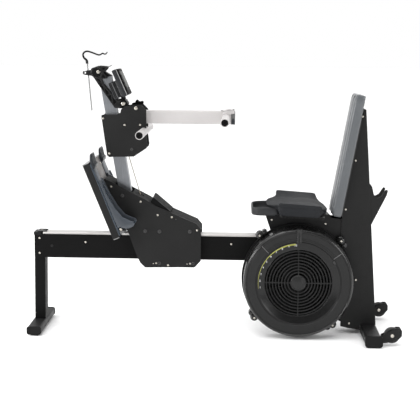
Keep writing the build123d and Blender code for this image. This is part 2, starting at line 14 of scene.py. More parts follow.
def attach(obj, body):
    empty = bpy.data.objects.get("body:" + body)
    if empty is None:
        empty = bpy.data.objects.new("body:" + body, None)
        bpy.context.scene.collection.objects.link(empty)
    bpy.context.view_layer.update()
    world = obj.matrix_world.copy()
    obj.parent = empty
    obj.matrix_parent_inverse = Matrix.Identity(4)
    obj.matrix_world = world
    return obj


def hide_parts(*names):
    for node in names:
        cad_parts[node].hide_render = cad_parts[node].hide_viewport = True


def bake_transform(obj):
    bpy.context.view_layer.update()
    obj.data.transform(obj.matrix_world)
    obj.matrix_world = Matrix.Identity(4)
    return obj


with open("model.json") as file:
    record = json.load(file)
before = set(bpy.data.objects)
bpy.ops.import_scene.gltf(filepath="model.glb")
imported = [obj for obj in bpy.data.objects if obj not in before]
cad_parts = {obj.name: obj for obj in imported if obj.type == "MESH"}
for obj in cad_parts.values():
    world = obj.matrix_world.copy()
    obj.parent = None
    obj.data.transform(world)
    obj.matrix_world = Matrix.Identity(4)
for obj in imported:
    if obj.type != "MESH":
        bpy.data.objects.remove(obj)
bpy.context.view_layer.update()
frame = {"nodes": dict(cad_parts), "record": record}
nodes = frame["nodes"]
MM = 0.001
AXIS = 0.01  # radius, in millimetres, of a profile's ends on its axis of turning


def put(name, data):
    """A new object in the scene."""
    made = bpy.data.objects.new(name, data)
    bpy.context.scene.collection.objects.link(made)
    return made


# ------------------------------------------------------------------ camera
def camera():
    """Eye-level side view, turned a little towards -X and looking slightly down."""
    data = bpy.data.cameras.new("view")
    eye = put("view", data)
    data.sensor_width = 36
    data.lens = 82.97
    data.shift_y = -0.17
    data.clip_end = 60
    yaw, pitch, roll = math.radians(1.8356), math.radians(5.481), 0.009
    forward = Vector((-math.sin(yaw) * math.cos(pitch), math.cos(yaw) * math.cos(pitch), -math.sin(pitch)))
    right = Vector((math.cos(yaw), math.sin(yaw), 0))
    up = right.cross(forward)
    turned = right * math.cos(roll) + up * math.sin(roll)
    top = up * math.cos(roll) - right * math.sin(roll)
    axes = Matrix((turned, top, -forward)).transposed()
    eye.matrix_world = Matrix.Translation((0.124, -4.6, 1.37)) @ axes.to_4x4()
    bpy.context.scene.camera = eye


# ------------------------------------------------------------------ node materials
def new_material(name):
    """An empty node material with its output and Principled shader."""
    made = bpy.data.materials.new(name)
    made.use_nodes = True
    tree = made.node_tree
    shader = tree.nodes["Principled BSDF"]
    return made, tree, shader


def add(tree, kind, **values):
    """One node with its inputs set; names with underscores are properties of the node."""
    node = tree.nodes.new(kind)
    for key, value in values.items():
        if hasattr(node, key):
            setattr(node, key, value)
        else:
            node.inputs[key.replace("_", " ")].default_value = value
    return node


def noise(tree, place, scale, detail=3.0):
    """Noise texture over object space."""
    node = add(tree, "ShaderNodeTexNoise", Scale=scale, Detail=detail)
    tree.links.new(place, node.inputs["Vector"])
    return node.outputs["Fac"]


def ramp(tree, value, stops):
    """Colour ramp through (position, colour) stops."""
    node = tree.nodes.new("ShaderNodeValToRGB")
    tree.links.new(value, node.inputs["Fac"])
    while len(node.color_ramp.elements) < len(stops):
        node.color_ramp.elements.new(0.5)
    for element, (position, colour) in zip(node.color_ramp.elements, stops):
        element.position = position
        element.color = (*colour, 1)
    return node.outputs["Color"]


def remap(tree, value, source=(0, 1), target=(0, 1)):
    """Maps the source range of a value to the target range."""
    node = tree.nodes.new("ShaderNodeMapRange")
    for name, number in zip(("From Min", "From Max", "To Min", "To Max"), (*source, *target)):
        node.inputs[name].default_value = number
    tree.links.new(value, node.inputs["Value"])
    return node.outputs["Result"]


def spread(tree, value, low, high):
    """Maps a noise value, which mostly lies from 0.3 to 0.7, to low..high."""
    return remap(tree, value, (0.3, 0.7), (low, high))


def mix(tree, fac, a, b):
    """Mixes two colours, each a socket or a triple."""
    node = tree.nodes.new("ShaderNodeMix")
    node.data_type = "RGBA"
    tree.links.new(fac, node.inputs["Factor"])
    for name, value in (("A", a), ("B", b)):
        socket = next(s for s in node.inputs if s.name == name and s.type == "RGBA")
        if isinstance(value, tuple):
            socket.default_value = (*value, 1)
        else:
            tree.links.new(value, socket)
    return next(s for s in node.outputs if s.type == "RGBA")


def edge_wear(tree, radius):
    """1 on sharp edges and 0 on flat faces, from how far a rounded normal turns."""
    bevel = add(tree, "ShaderNodeBevel", Radius=radius)
    bevel.samples = 4
    plain = tree.nodes.new("ShaderNodeNewGeometry")
    dot = tree.nodes.new("ShaderNodeVectorMath")
    dot.operation = "DOT_PRODUCT"
    tree.links.new(bevel.outputs["Normal"], dot.inputs[0])
    tree.links.new(plain.outputs["True Normal"], dot.inputs[1])
    return bevel.outputs["Normal"], remap(tree, dot.outputs["Value"], (0.995, 0.85))


def surface(name, dark, light, rough=(0.4, 0.55), blotch=9, grain=900, bump=0.15, depth=0.0002,
            metallic=0.0, stretch=(1, 1, 1), worn=None, rounding=0.0, sheen=0.0, specular=0.5):
    """Two-scale procedural surface: slow colour drift, fine grain, uneven gloss and lighter worn edges."""
    dark, light = tone(dark), tone(light)
    made, tree, shader = new_material(name)
    shader.inputs["Metallic"].default_value = metallic
    shader.inputs["Sheen Weight"].default_value = sheen
    shader.inputs["Specular IOR Level"].default_value = specular
    coords = tree.nodes.new("ShaderNodeTexCoord")
    placed = tree.nodes.new("ShaderNodeMapping")
    placed.inputs["Scale"].default_value = stretch
    tree.links.new(coords.outputs["Object"], placed.inputs["Vector"])
    place = placed.outputs["Vector"]
    slow = noise(tree, coords.outputs["Object"], blotch, 4)
    fine = noise(tree, place, grain, 2)
    colour = ramp(tree, slow, [(0.32, dark), (0.68, light)])
    darker, lighter = tuple(0.8 * c for c in dark), tuple(1.12 * c for c in light)
    speck = ramp(tree, fine, [(0.35, darker), (0.65, lighter)])
    colour = mix(tree, remap(tree, slow, target=(0.25, 0.45)), colour, speck)
    normal = None
    if rounding:
        normal, wear = edge_wear(tree, rounding)
        if worn:
            scuffed = tree.nodes.new("ShaderNodeMath")
            scuffed.operation = "MULTIPLY"
            tree.links.new(wear, scuffed.inputs[0])
            patches = spread(tree, noise(tree, coords.outputs["Object"], 60, 4), 0.2, 0.9)
            tree.links.new(patches, scuffed.inputs[1])
            colour = mix(tree, scuffed.outputs["Value"], colour, tone(worn))
    tree.links.new(colour, shader.inputs["Base Color"])
    gloss = noise(tree, coords.outputs["Object"], blotch * 3.3, 5)
    tree.links.new(spread(tree, gloss, *rough), shader.inputs["Roughness"])
    relief = add(tree, "ShaderNodeBump", Strength=bump, Distance=depth)
    tree.links.new(fine, relief.inputs["Height"])
    if normal:
        tree.links.new(normal, relief.inputs["Normal"])
    tree.links.new(relief.outputs["Normal"], shader.inputs["Normal"])
    return made


def vinyl(name):
    """Embossed upholstery vinyl: pebble grain, faint mottling and soft sheen."""
    made, tree, shader = new_material(name)
    shader.inputs["Sheen Weight"].default_value = 0.05
    shader.inputs["Specular IOR Level"].default_value = 0.5
    shader.inputs["Coat Weight"].default_value = 0.15
    coords = tree.nodes.new("ShaderNodeTexCoord")
    place = coords.outputs["Object"]
    slow = noise(tree, place, 7, 4)
    cells = add(tree, "ShaderNodeTexVoronoi", Scale=620)
    tree.links.new(place, cells.inputs["Vector"])
    base = ramp(tree, slow, [(0.3, (0.082, 0.088, 0.095)), (0.7, (0.096, 0.103, 0.110))])
    pebble = ramp(tree, cells.outputs["Distance"],
                  [(0.1, (0.100, 0.107, 0.114)), (0.7, (0.072, 0.078, 0.084))])
    share = noise(tree, place, 24)
    tree.links.new(mix(tree, share, base, pebble), shader.inputs["Base Color"])
    tree.links.new(spread(tree, noise(tree, place, 40, 4), 0.3, 0.4), shader.inputs["Roughness"])
    grain = add(tree, "ShaderNodeBump", Strength=0.35, Distance=0.0004)
    tree.links.new(cells.outputs["Distance"], grain.inputs["Height"])
    folds = add(tree, "ShaderNodeBump", Strength=0.15, Distance=0.003)
    tree.links.new(noise(tree, place, 16, 2), folds.inputs["Height"])
    tree.links.new(folds.outputs["Normal"], grain.inputs["Normal"])
    tree.links.new(grain.outputs["Normal"], shader.inputs["Normal"])
    return made


def tone(value):
    """A colour triple; a plain number stands for a neutral grey."""
    return value if isinstance(value, tuple) else (value, value, value)


def cool(value):
    """A grey with a slight blue cast."""
    return (value - 0.001, value, value + 0.002)


def make_materials():
    """Every finish of the machine, by the record's slot name or a name of its own."""
    return {
        "frame_paint": surface("powder_coat", 0.0075, 0.0105, (0.42, 0.55), 6, 700, 0.25, 0.0004,
                               worn=0.06, rounding=0.0012, specular=0.2),
        # A darker copy of the frame's powder coat: painted shade, given to the beam and the front post.
        "shaded_beam_paint": surface("shaded_beam_paint", 0.003, 0.0045, (0.42, 0.55), 6, 700, 0.25, 0.0004, worn=0.05,
                              rounding=0.0012, specular=0.08),
        "black_plastic": surface("black_plastic", 0.0055, 0.008, (0.42, 0.55), 12, 500, 0.2, 0.0003,
                                 worn=0.04, rounding=0.001, specular=0.14),
        "gloss_plastic": surface("gloss_plastic", 0.009, 0.012, (0.2, 0.3), 10, 300, 0.06, 0.0003),
        "dark_knob": surface("knob_plastic", 0.003, 0.0045, (0.35, 0.5), 20, 600, 0.15, 0.0003,
                             specular=0.04),
        "seat_skin": surface("seat_skin", cool(0.018), cool(0.024), (0.5, 0.6), 8, 1400, 0.35, 0.0004,
                             specular=0.05),
        "tray_plastic": surface("tray_plastic", cool(0.028), cool(0.036), (0.4, 0.5), 9, 1400, 0.3, 0.0004,
                                specular=0.2),
        "board": surface("painted_board", 0.012, 0.02, (0.6, 0.75), 12, 200, 0.4, 0.0008,
                         stretch=(1, 1, 0.1)),
        "mast_metal": surface("anodised_mast", (0.215, 0.225, 0.24), (0.255, 0.265, 0.28), (0.3, 0.42), 7,
                              500, 0.12, 0.0002, metallic=0.75, stretch=(1, 1, 0.02)),
        "rail_metal": surface("rail_steel", (0.50, 0.485, 0.47), (0.57, 0.555, 0.54), (0.3, 0.38), 9, 300,
                              0.04, 0.0001, metallic=0.8, stretch=(0.02, 1, 1)),
        "arm_paint": surface("arm_paint", (0.48, 0.46, 0.455), (0.53, 0.51, 0.505), (0.4, 0.5), 7, 900,
                             0.12, 0.0002, metallic=0.15, worn=(0.75, 0.74, 0.73), rounding=0.0012),
        "fastener": surface("zinc_screw", (0.50, 0.47, 0.41), (0.64, 0.61, 0.55), (0.22, 0.36), 120, 900,
                            0.12, 0.0002, metallic=1.0),
        "dark_bolt": surface("black_bolt", 0.03, 0.045, (0.3, 0.42), 90, 900, 0.15, 0.0002, metallic=0.4,
                             worn=0.16, rounding=0.0008),
        "fan_metal": surface("cast_fan", 0.016, 0.026, (0.5, 0.65), 14, 420, 0.35, 0.0005, metallic=0.5),
        "belt": surface("belt_rubber", 0.012, 0.018, (0.6, 0.75), 20, 500, 0.3, 0.0004),
        "pad_rubber": surface("pad_rubber", 0.012, 0.019, (0.65, 0.8), 30, 600, 0.4, 0.0005),
        "wheel_tread": surface("wheel_tread", 0.014, 0.021, (0.5, 0.65), 30, 600, 0.3, 0.0005),
        "foot_plastic": surface("foot_plastic", (0.020, 0.029, 0.041), (0.028, 0.039, 0.054), (0.3, 0.42),
                                10, 900, 0.25, 0.0004, worn=(0.16, 0.2, 0.25), rounding=0.0015),
        "toe_plastic": surface("toe_plastic", (0.016, 0.018, 0.022), (0.023, 0.026, 0.030), (0.3, 0.4), 12,
                               900, 0.2, 0.0003, worn=(0.13, 0.14, 0.15), rounding=0.001, specular=0.3),
        "roller_plastic": surface("roller_plastic", 0.4, 0.48, (0.35, 0.5), 16, 700, 0.15, 0.0003),
        "wire": surface("drawn_wire", 0.20, 0.26, (0.35, 0.45), 60, 900, 0.08, 0.0001, metallic=1.0,
                        stretch=(1, 1, 0.05)),
        "button": surface("button_rubber", 0.014, 0.02, (0.35, 0.5), 60, 900, 0.2, 0.0003),
        "silver_plastic": surface("silver_bezel", 0.24, 0.30, (0.3, 0.4), 20, 700, 0.12, 0.0002,
                                  metallic=0.2),
        "bezel_plastic": surface("bezel_plastic", 0.005, 0.007, (0.2, 0.27), 9, 800, 0.12, 0.0003,
                                 specular=0.3),
        "grille_plastic": surface("grille_plastic", 0.012, 0.016, (0.34, 0.44), 14, 800, 0.2, 0.0003,
                                  specular=0.26),
        "mesh_wire": surface("mesh_wire", 0.004, 0.006, (0.45, 0.6), 30, 800, 0.1, 0.0002, specular=0.15),
        # A light grey that paints a highlight along thin edges.
        "painted_edge_highlight": surface("painted_edge_highlight", 0.10, 0.14, (0.4, 0.5), 30, 800, 0.1, 0.0002),
        "back_vinyl": vinyl("back_vinyl"),
        "thread": surface("thread", 0.10, 0.14, (0.6, 0.8), 300, 3000, 0.4, 0.0002),
        # Far darker than the vinyl: painted shade for the piping in the backrest's channels.
        "shade_piping": surface("groove_shade_piping", 0.012, 0.018, (0.6, 0.8), 200, 1600, 0.4, 0.0002, specular=0.1),
        "swoosh_print": surface("swoosh_print", (0.30, 0.30, 0.06), (0.38, 0.38, 0.085), (0.4, 0.5), 40,
                                900, 0.08, 0.0001),
        "deep_black": surface("deep_black", 0.0015, 0.0025, (0.6, 0.75), 14, 700, 0.2, 0.0003,
                              specular=0.12),
        "cord": surface("braided_cord", (0.32, 0.28, 0.22), (0.42, 0.37, 0.30), (0.6, 0.8), 200, 2400, 0.5,
                        0.0004, sheen=0.2),
        "shell_plastic": surface("shell_plastic", cool(0.015), cool(0.020), (0.4, 0.52), 12, 800, 0.25,
                                 0.0003, worn=0.10, rounding=0.001, specular=0.25),
        "fork_plastic": surface("fork_plastic", 0.007, 0.010, (0.34, 0.46), 14, 800, 0.2, 0.0003,
                                worn=0.08, rounding=0.001, specular=0.2),
        "lcd_glass": surface("lcd_glass", (0.028, 0.033, 0.027), (0.034, 0.040, 0.032), (0.3, 0.4), 18,
                             1800, 0.02, 0.0001, specular=0.12),
        "taupe_plate": surface("taupe_plate", (0.155, 0.142, 0.135), (0.185, 0.17, 0.162), (0.42, 0.55), 9,
                               800, 0.2, 0.0003),
        "cup_plastic": surface("cup_plastic", (0.030, 0.036, 0.045), (0.040, 0.047, 0.057), (0.3, 0.42),
                               10, 900, 0.25, 0.0004, worn=(0.2, 0.23, 0.27), rounding=0.0018),
        "cap_grey": surface("cap_grey", 0.10, 0.13, (0.42, 0.55), 14, 800, 0.2, 0.0003),
        "white_print": surface("white_print", 0.55, 0.65, (0.4, 0.5), 40, 900, 0.08, 0.0001),
    }


def dress_nodes():
    """Gives every CAD node the finish of its slot, or a darker one where it lies in shade."""
    # Painted shade: the beam and post take a darker copy of the frame paint, and the carriage covers and arm
    # plugs take deep black.
    deeper = {"main_beam": "shaded_beam_paint", "front_post": "shaded_beam_paint", "carriage_covers": "deep_black",
              "arm_plugs": "deep_black"}
    for row in frame["record"]["subparts"]:
        piece = nodes[row["node"]]
        piece.data.materials.clear()
        piece.data.materials.append(look[deeper.get(row["node"], row["material_slot"])])


# ------------------------------------------------------------------ shapes, in millimetres
def rounded(points, radius, steps=5):
    """The closed outline with every corner rounded; radius may be one number or one for each corner."""
    made = []
    for i, corner in enumerate(points):
        before, here, after = Vector(points[i - 1]), Vector(corner), Vector(points[(i + 1) % len(points)])
        to_before, to_after = (before - here).normalized(), (after - here).normalized()
        half = to_before.angle(to_after) / 2
        wanted = radius[i] if isinstance(radius, (list, tuple)) else radius
        cut = min(wanted / max(math.tan(half), 0.01), 0.45 * (before - here).length,
                  0.45 * (after - here).length)
        start, end = here + to_before * cut, here + to_after * cut
        for k in range(steps + 1):
            t = k / steps
            made.append(tuple(start * (1 - t) ** 2 + here * 2 * t * (1 - t) + end * t * t))
    return made


def box(left, right, low, high):
    """Corners of an upright rectangle."""
    return [(left, low), (right, low), (right, high), (left, high)]


def around(centre, radius, angle):
    """The point at a distance and an angle, in radians, from the centre."""
    return (centre[0] + radius * math.cos(angle), centre[1] + radius * math.sin(angle))


def circle(centre, radius, count):
    """Round outline."""
    return [around(centre, radius, math.tau * k / count) for k in range(count)]


def spoke(centre, degrees, corners):
    """Outline from (reach, width) corners along a line that leaves the centre at an angle."""
    angle = math.radians(degrees)
    along, across = Vector((math.cos(angle), math.sin(angle))), Vector((-math.sin(angle), math.cos(angle)))
    return [tuple(Vector(centre) + along * reach + across * width) for reach, width in corners]


def tilted(origin, degrees):
    """Maps (along, out) on a line that leans towards -X to (x, z)."""
    lean = math.radians(degrees)

    def place(along, out):
        """Turns the leaning pair into upright (x, z)."""
        return (origin[0] - along * math.sin(lean) + out * math.cos(lean),
                origin[1] + along * math.cos(lean) + out * math.sin(lean))

    return place


def read_curve(curve):
    """Points and faces of a curve data block."""
    holder = put("holder", curve)
    evaluated = holder.evaluated_get(bpy.context.evaluated_depsgraph_get())
    mesh = bpy.data.meshes.new_from_object(evaluated)
    points = [tuple(v.co) for v in mesh.vertices]
    faces = [tuple(p.vertices) for p in mesh.polygons]
    bpy.data.objects.remove(holder)
    bpy.data.curves.remove(curve)
    bpy.data.meshes.remove(mesh)
    return points, faces


def slab(loops, y0, y1, bevel):
    """Plate between y0 and y1 with its outline and holes in the XZ plane and rounded edges."""
    curve = bpy.data.curves.new("outline", "CURVE")
    curve.dimensions = "2D"
    curve.fill_mode = "BOTH"
    curve.extrude = (y1 - y0) / 2 - bevel
    curve.bevel_depth = bevel
    curve.bevel_resolution = 1
    curve.offset = -bevel
    for loop in loops:
        spline = curve.splines.new("POLY")
        spline.points.add(len(loop) - 1)
        for point, (x, z) in zip(spline.points, loop):
            point.co = (x, z, 0, 1)
        spline.use_cyclic_u = True
    points, faces = read_curve(curve)
    middle = (y0 + y1) / 2
    return [(x, middle - out, z) for x, z, out in points], faces


def sided(loops, side, inner, outer, bevel):
    """Plate on one side of the machine, from inner to outer away from its middle plane."""
    low, high = sorted((side * inner, side * outer))
    return slab(loops, low, high, bevel)


def pipe(route, radius, sides=3, order=3, taper=None):
    """Round bar along a smooth line through given control points."""
    curve = bpy.data.curves.new("route", "CURVE")
    curve.dimensions = "3D"
    curve.bevel_depth = radius
    curve.bevel_resolution = sides
    curve.use_fill_caps = True
    spline = curve.splines.new("NURBS")
    spline.points.add(len(route) - 1)
    for index, (point, place) in enumerate(zip(spline.points, route)):
        point.co = (*place, 1)
        point.radius = taper[index] if taper else 1
    spline.order_u = order
    spline.use_endpoint_u = True
    spline.resolution_u = 8
    return read_curve(curve)


def loft(loops):
    """Skin over rings that all have the same number of points, closed at both ends."""
    count = len(loops[0])
    points = [p for loop in loops for p in loop]
    faces = []
    for ring in range(len(loops) - 1):
        for k in range(count):
            a, b = ring * count + k, ring * count + (k + 1) % count
            faces.append((a, b, b + count, a + count))
    faces.append(tuple(range(count)))
    faces.append(tuple(range((len(loops) - 1) * count, len(loops) * count)))
    return points, faces


def turned(profile, x, z, count=96, arc=(0, 360), closed=True):
    """Solid of a profile of (radius, y) points turned about a Y axis; angles run from +X to +Z."""
    whole = arc[1] - arc[0] >= 360
    steps = count if whole else count + 1
    points, faces = [], []
    for k in range(steps):
        angle = math.radians(arc[0] + (arc[1] - arc[0]) * k / count)
        points += [(x + r * math.cos(angle), y, z + r * math.sin(angle)) for r, y in profile]
    size = len(profile)
    spans = size if closed else size - 1
    for k in range(count):
        here, there = k * size, ((k + 1) % steps) * size
        for i in range(spans):
            j = (i + 1) % size
            faces.append((here + i, here + j, there + j, there + i))
    if not whole:
        faces.append(tuple(range(size)))
        faces.append(tuple(range(count * size, (count + 1) * size)))
    return points, faces


def spun(profile, centre, side=1, count=24, closed=False):
    """Turned shape on one side of the middle plane; its profile's y is the distance from that plane."""
    return turned([(r, side * y) for r, y in profile], *centre, count=count, closed=closed)


def bar(radius, inner, outer, centre, side=1, count=24):
    """Plain round bar along Y."""
    return spun([(AXIS, inner), (radius, inner), (radius, outer), (AXIS, outer)], centre, side, count)


def socket_head(place, radius, height, direction, socket=0.5):
    """Button-head screw with a hexagon socket; direction points out of the head."""
    out = Vector(direction).normalized()
    side = out.orthogonal().normalized()
    other = out.cross(side)
    count = 24
    hexagon = [socket * radius / math.cos((k * math.tau / count) % (math.pi / 3) - math.pi / 6)
               for k in range(count)]
    steps = [(radius, 0), (radius, 0.3 * height), (0.93 * radius, 0.68 * height),
             (0.78 * radius, 0.93 * height), (0.66 * radius, height)]
    rings = [[r] * count for r, rise in steps] + [hexagon, [0.96 * r for r in hexagon]]
    rises = [rise for r, rise in steps] + [height, 0.35 * height]
    loops = []
    for ring, rise in zip(rings, rises):
        loops.append([tuple(Vector(place) + out * rise + side * (r * math.cos(k * math.tau / count))
                            + other * (r * math.sin(k * math.tau / count))) for k, r in enumerate(ring)])
    return loft(loops)


def screw(x, y, z, radius=5, height=3, side=1, finish="fastener", socket=0.5):
    """Button head at the distance y from the middle plane, facing out on one side, with its finish."""
    return socket_head((x, side * y, z), radius, height, (0, side, 0), socket), finish


def piece(name, parts, body, slot, replaces=(), angle=34, smooth=0):
    """One named object from (shape, finish) parts, riding on its body."""
    points, faces, kinds, finishes = [], [], [], []
    for (some_points, some_faces), finish in parts:
        start = len(points)
        points += [tuple(c * MM for c in p) for p in some_points]
        faces += [tuple(start + i for i in f) for f in some_faces]
        if finish not in finishes:
            finishes.append(finish)
        kinds += [finishes.index(finish)] * len(some_faces)
    mesh = bpy.data.meshes.new(name)
    mesh.from_pydata(points, [], faces)
    mesh.polygons.foreach_set("material_index", kinds)
    mesh.polygons.foreach_set("use_smooth", [True] * len(faces))
    for finish in finishes:
        mesh.materials.append(look[finish])
    work = bmesh.new()
    work.from_mesh(mesh)
    bmesh.ops.remove_doubles(work, verts=work.verts, dist=0.00001)
    bmesh.ops.recalc_face_normals(work, faces=work.faces)
    work.to_mesh(mesh)
    work.free()
    mesh.set_sharp_from_angle(angle=math.radians(angle))
    made = put(name, mesh)
    if smooth:
        modifier = made.modifiers.new("smooth", "SUBSURF")
        modifier.levels = modifier.render_levels = smooth
    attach(made, body)
    if replaces:
        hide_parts(*replaces)
    return made


# ------------------------------------------------------------------ floor and light
def stage():
    """Plain pale floor that runs back, and soft studio light."""
    mesh = bpy.data.meshes.new("floor")
    reach = 60
    mesh.from_pydata([(-reach, -reach, 0), (reach, -reach, 0), (reach, reach, 0), (-reach, reach, 0)], [],
                     [(0, 1, 2, 3)])
    floor = put("floor", mesh)
    paper = surface("floor_paper", 0.93, 0.94, (0.9, 1.0), 2, 300, 0.02, 0.0002, specular=0.0)
    floor.data.materials.append(paper)
    world = bpy.data.worlds.new("studio")
    bpy.context.scene.world = world
    world.use_nodes = True
    tree = world.node_tree
    shown = tree.nodes["Background"]
    shown.inputs["Color"].default_value = (1, 1, 1, 1)
    lighting = add(tree, "ShaderNodeBackground", Strength=1.0)
    coords = tree.nodes.new("ShaderNodeTexCoord")
    split = tree.nodes.new("ShaderNodeSeparateXYZ")
    tree.links.new(coords.outputs["Generated"], split.inputs["Vector"])
    depth = remap(tree, split.outputs["Y"], (-1, 1))
    softened = ramp(tree, depth, [(0.1, tone(0.18)), (0.5, tone(0.34)), (0.85, tone(1.0))])
    tree.links.new(softened, lighting.inputs["Color"])
    rays = tree.nodes.new("ShaderNodeLightPath")
    either = tree.nodes.new("ShaderNodeMixShader")
    tree.links.new(rays.outputs["Is Camera Ray"], either.inputs["Fac"])
    tree.links.new(lighting.outputs["Background"], either.inputs[1])
    tree.links.new(shown.outputs["Background"], either.inputs[2])
    tree.links.new(either.outputs["Shader"], tree.nodes["World Output"].inputs["Surface"])
    sun_data = bpy.data.lights.new("overhead", "SUN")
    sun_data.energy = 2.6
    sun_data.angle = math.radians(70)
    sun = put("overhead", sun_data)
    sun.rotation_euler = (math.radians(14), math.radians(-10), 0)
    aim = Vector((0, 0, 0.6))
    lamps = (("key", (-3.2, -3.4, 1.7), 1.0, 40), ("side", (-2.9, -0.7, 1.5), 1.4, 60),
             ("fill", (3.0, -2.6, 1.4), 1.4, 48), ("top", (-1.2, -2.4, 4.6), 1.4, 16),
             ("rim", (1.5, 3.6, 3.2), 2.0, 30))
    for name, place, size, power in lamps:
        data = bpy.data.lights.new(name, "AREA")
        data.size = size
        data.energy = power
        lamp = put(name, data)
        lamp.location = place
        lamp.rotation_euler = (aim - Vector(place)).to_track_quat("-Z", "Y").to_euler()
    bpy.context.scene.view_settings.view_transform = "Standard"


# ------------------------------------------------------------------ flywheel cage
WHEEL = (400, 271)


def cage():
    """Bezel with beads and a sliding-cover track, ring grille and mesh screen."""
    outside = [(257, -62), (257, -84), (255.6, -86), (255.6, -88), (257, -90), (257, -134), (255.8, -136),
               (255.8, -139), (257, -141), (257, -152), (255.6, -158), (251.5, -163), (246.5, -165.2)]
    face = [(245, -163.6), (241, -163.6), (239.5, -165.2), (201, -165.2), (199.5, -163.6), (196, -163.6),
            (194.5, -165.4), (191.5, -165.6), (189, -164.4)]
    cone = [(176, -159.6), (165, -155.2), (161.5, -154), (159, -153.8), (157.4, -154.8), (156.2, -153.6),
            (156.2, -150)]
    outer_shell = outside + [(245, -163.6), (245, -160.6), (253, -153), (253, -62)]
    inner_shell = face + cone + [(164, -150), (194, -160), (245, -160.6)]
    parts = [(turned(outer_shell, *WHEEL, count=180), "gloss_plastic"),
             (turned(inner_shell, *WHEEL, count=180), "bezel_plastic")]
    latch = [(196.5, -164), (198, -168.4), (188, -168.4), (185, -160)]
    parts.append((turned(latch, *WHEEL, count=6, arc=(29, 34)), "gloss_plastic"))
    piece("cage_bezel_shell", parts, "frame", "black_plastic", ["cage_bezel"], angle=28)

    parts = []
    first, pitch, rings, half = 49.5, 14.2, 8, 2.8
    for step in range(rings):
        middle = first + pitch * step
        section = [(middle - half, -150.6), (middle - half, -154), (middle - 0.6 * half, -155.8),
                   (middle + 0.6 * half, -155.8), (middle + half, -154), (middle + half, -150.6)]
        parts.append((turned(section, *WHEEL, count=120), "grille_plastic"))
    for turn in range(4):
        outline = spoke(WHEEL, 90 * turn, box(30, 157, -2, 2))
        parts.append((slab([outline], -156.8, -151.5, 0.8), "grille_plastic"))
    hub = [(AXIS, -159.4), (28, -159.4), (29, -158.6), (31, -158.6), (32, -159.8), (35, -159.8), (37, -158),
           (37, -152), (AXIS, -152)]
    parts.append((turned(hub, *WHEEL, count=72), "grille_plastic"))
    piece("cage_grille_rings", parts, "frame", "black_plastic", ["cage_grille"], angle=40)

    parts = []
    for step in range(22):
        radius = 40 + 5 * step
        wire = [(radius - 0.5, -141), (radius, -141.6), (radius + 0.5, -141), (radius, -140.4)]
        parts.append((turned(wire, *WHEEL, count=72), "mesh_wire"))
    spokes = 72
    for turn in range(spokes):
        line = [around(WHEEL, reach, math.tau * turn / spokes) for reach in (36, 90, 151)]
        parts.append((pipe([(x, -140.8, z) for x, z in line], 0.5, sides=0, order=2), "mesh_wire"))
    piece("cage_screen", parts, "frame", "black_plastic")


def on_cone(x, z, lift):
    """The point on the dial's sloping face in front of (x, z)."""
    radius = math.hypot(x - WHEEL[0], z - WHEEL[1])
    return (x, -164.4 + (189 - radius) * 0.369 - lift, z)


def dial_print():
    """Generic scale numbers from 1 to 10 and the wedge-shaped band outside them."""
    points, faces = [], []
    first, last, steps = 188.5, 94.5, 60
    for k in range(steps + 1):
        share = k / steps
        angle = math.radians(first + (last - first) * share)
        for radius in (188.4, 187.0 - 6.5 * share ** 1.4):
            points.append(on_cone(*around(WHEEL, radius, angle), 0.3))
    for k in range(steps):
        faces.append((2 * k, 2 * k + 1, 2 * k + 3, 2 * k + 2))
    band = piece("dial_band", [((points, faces), "swoosh_print")], "frame", "black_plastic")
    parts = []
    for number in range(1, 11):
        angle = math.radians(187.4 - (number - 1) * 10.27)
        centre = around(WHEEL, 179.4, angle)
        text = bpy.data.curves.new("number", "FONT")
        text.body = str(number)
        text.size = 13
        text.offset = 0.3
        text.align_x = "CENTER"
        text.align_y = "CENTER"
        text.resolution_u = 4
        flat, some_faces = read_curve(text)
        parts.append((([on_cone(centre[0] + x, centre[1] + y, 0.3) for x, y, _ in flat], some_faces),
                      "white_print"))
    numbers = piece("dial_numbers", parts, "frame", "black_plastic")
    for printed in (band, numbers):
        modifier = printed.modifiers.new("ink", "SOLIDIFY")
        modifier.thickness = 0.0002
        modifier.offset = 1


def damper():
    """Grooved sliding cover with its two-ridge lever."""
    section = [(246, -165.4), (246, -168.2), (245, -169), (240, -169), (239.4, -168), (238, -168),
               (237.4, -169), (214, -169), (213.4, -168), (211.8, -168), (211.2, -169), (206, -169),
               (205.4, -168), (203.8, -168), (203.2, -169), (199, -169), (198, -168.2), (198, -165.4)]
    parts = [(turned(section, *WHEEL, count=64, arc=(36, 135)), "bezel_plastic")]
    # Light grey beads at both ends of the cover: painted highlights on its end edges.
    for end in (36, 134.4):
        bead = [(245, -168.8), (245, -169.8), (200, -169.8), (200, -168.8)]
        parts.append((turned(bead, *WHEEL, count=1, arc=(end, end + 0.6)), "painted_edge_highlight"))
    x, z = WHEEL
    lever = rounded([(x - 13, z + 190), (x + 13, z + 190), (x + 13, z + 258), (x + 8, z + 262),
                     (x - 8, z + 262), (x - 13, z + 258)], 3)
    parts.append((slab([lever], -172, -168, 1), "bezel_plastic"))
    for left in (-9.5, 3.5):
        ridge = rounded(box(x + left, x + left + 6, z + 194, z + 259), 2.4)
        parts.append((slab([ridge], -178, -171, 2), "gloss_plastic"))
    thumb = rounded(box(x - 3, x + 3, z + 240, z + 256), 2)
    parts.append((slab([thumb], -175.5, -171, 1.6), "gloss_plastic"))
    piece("damper_cover", parts, "damper", "black_plastic", ["damper_slider"])


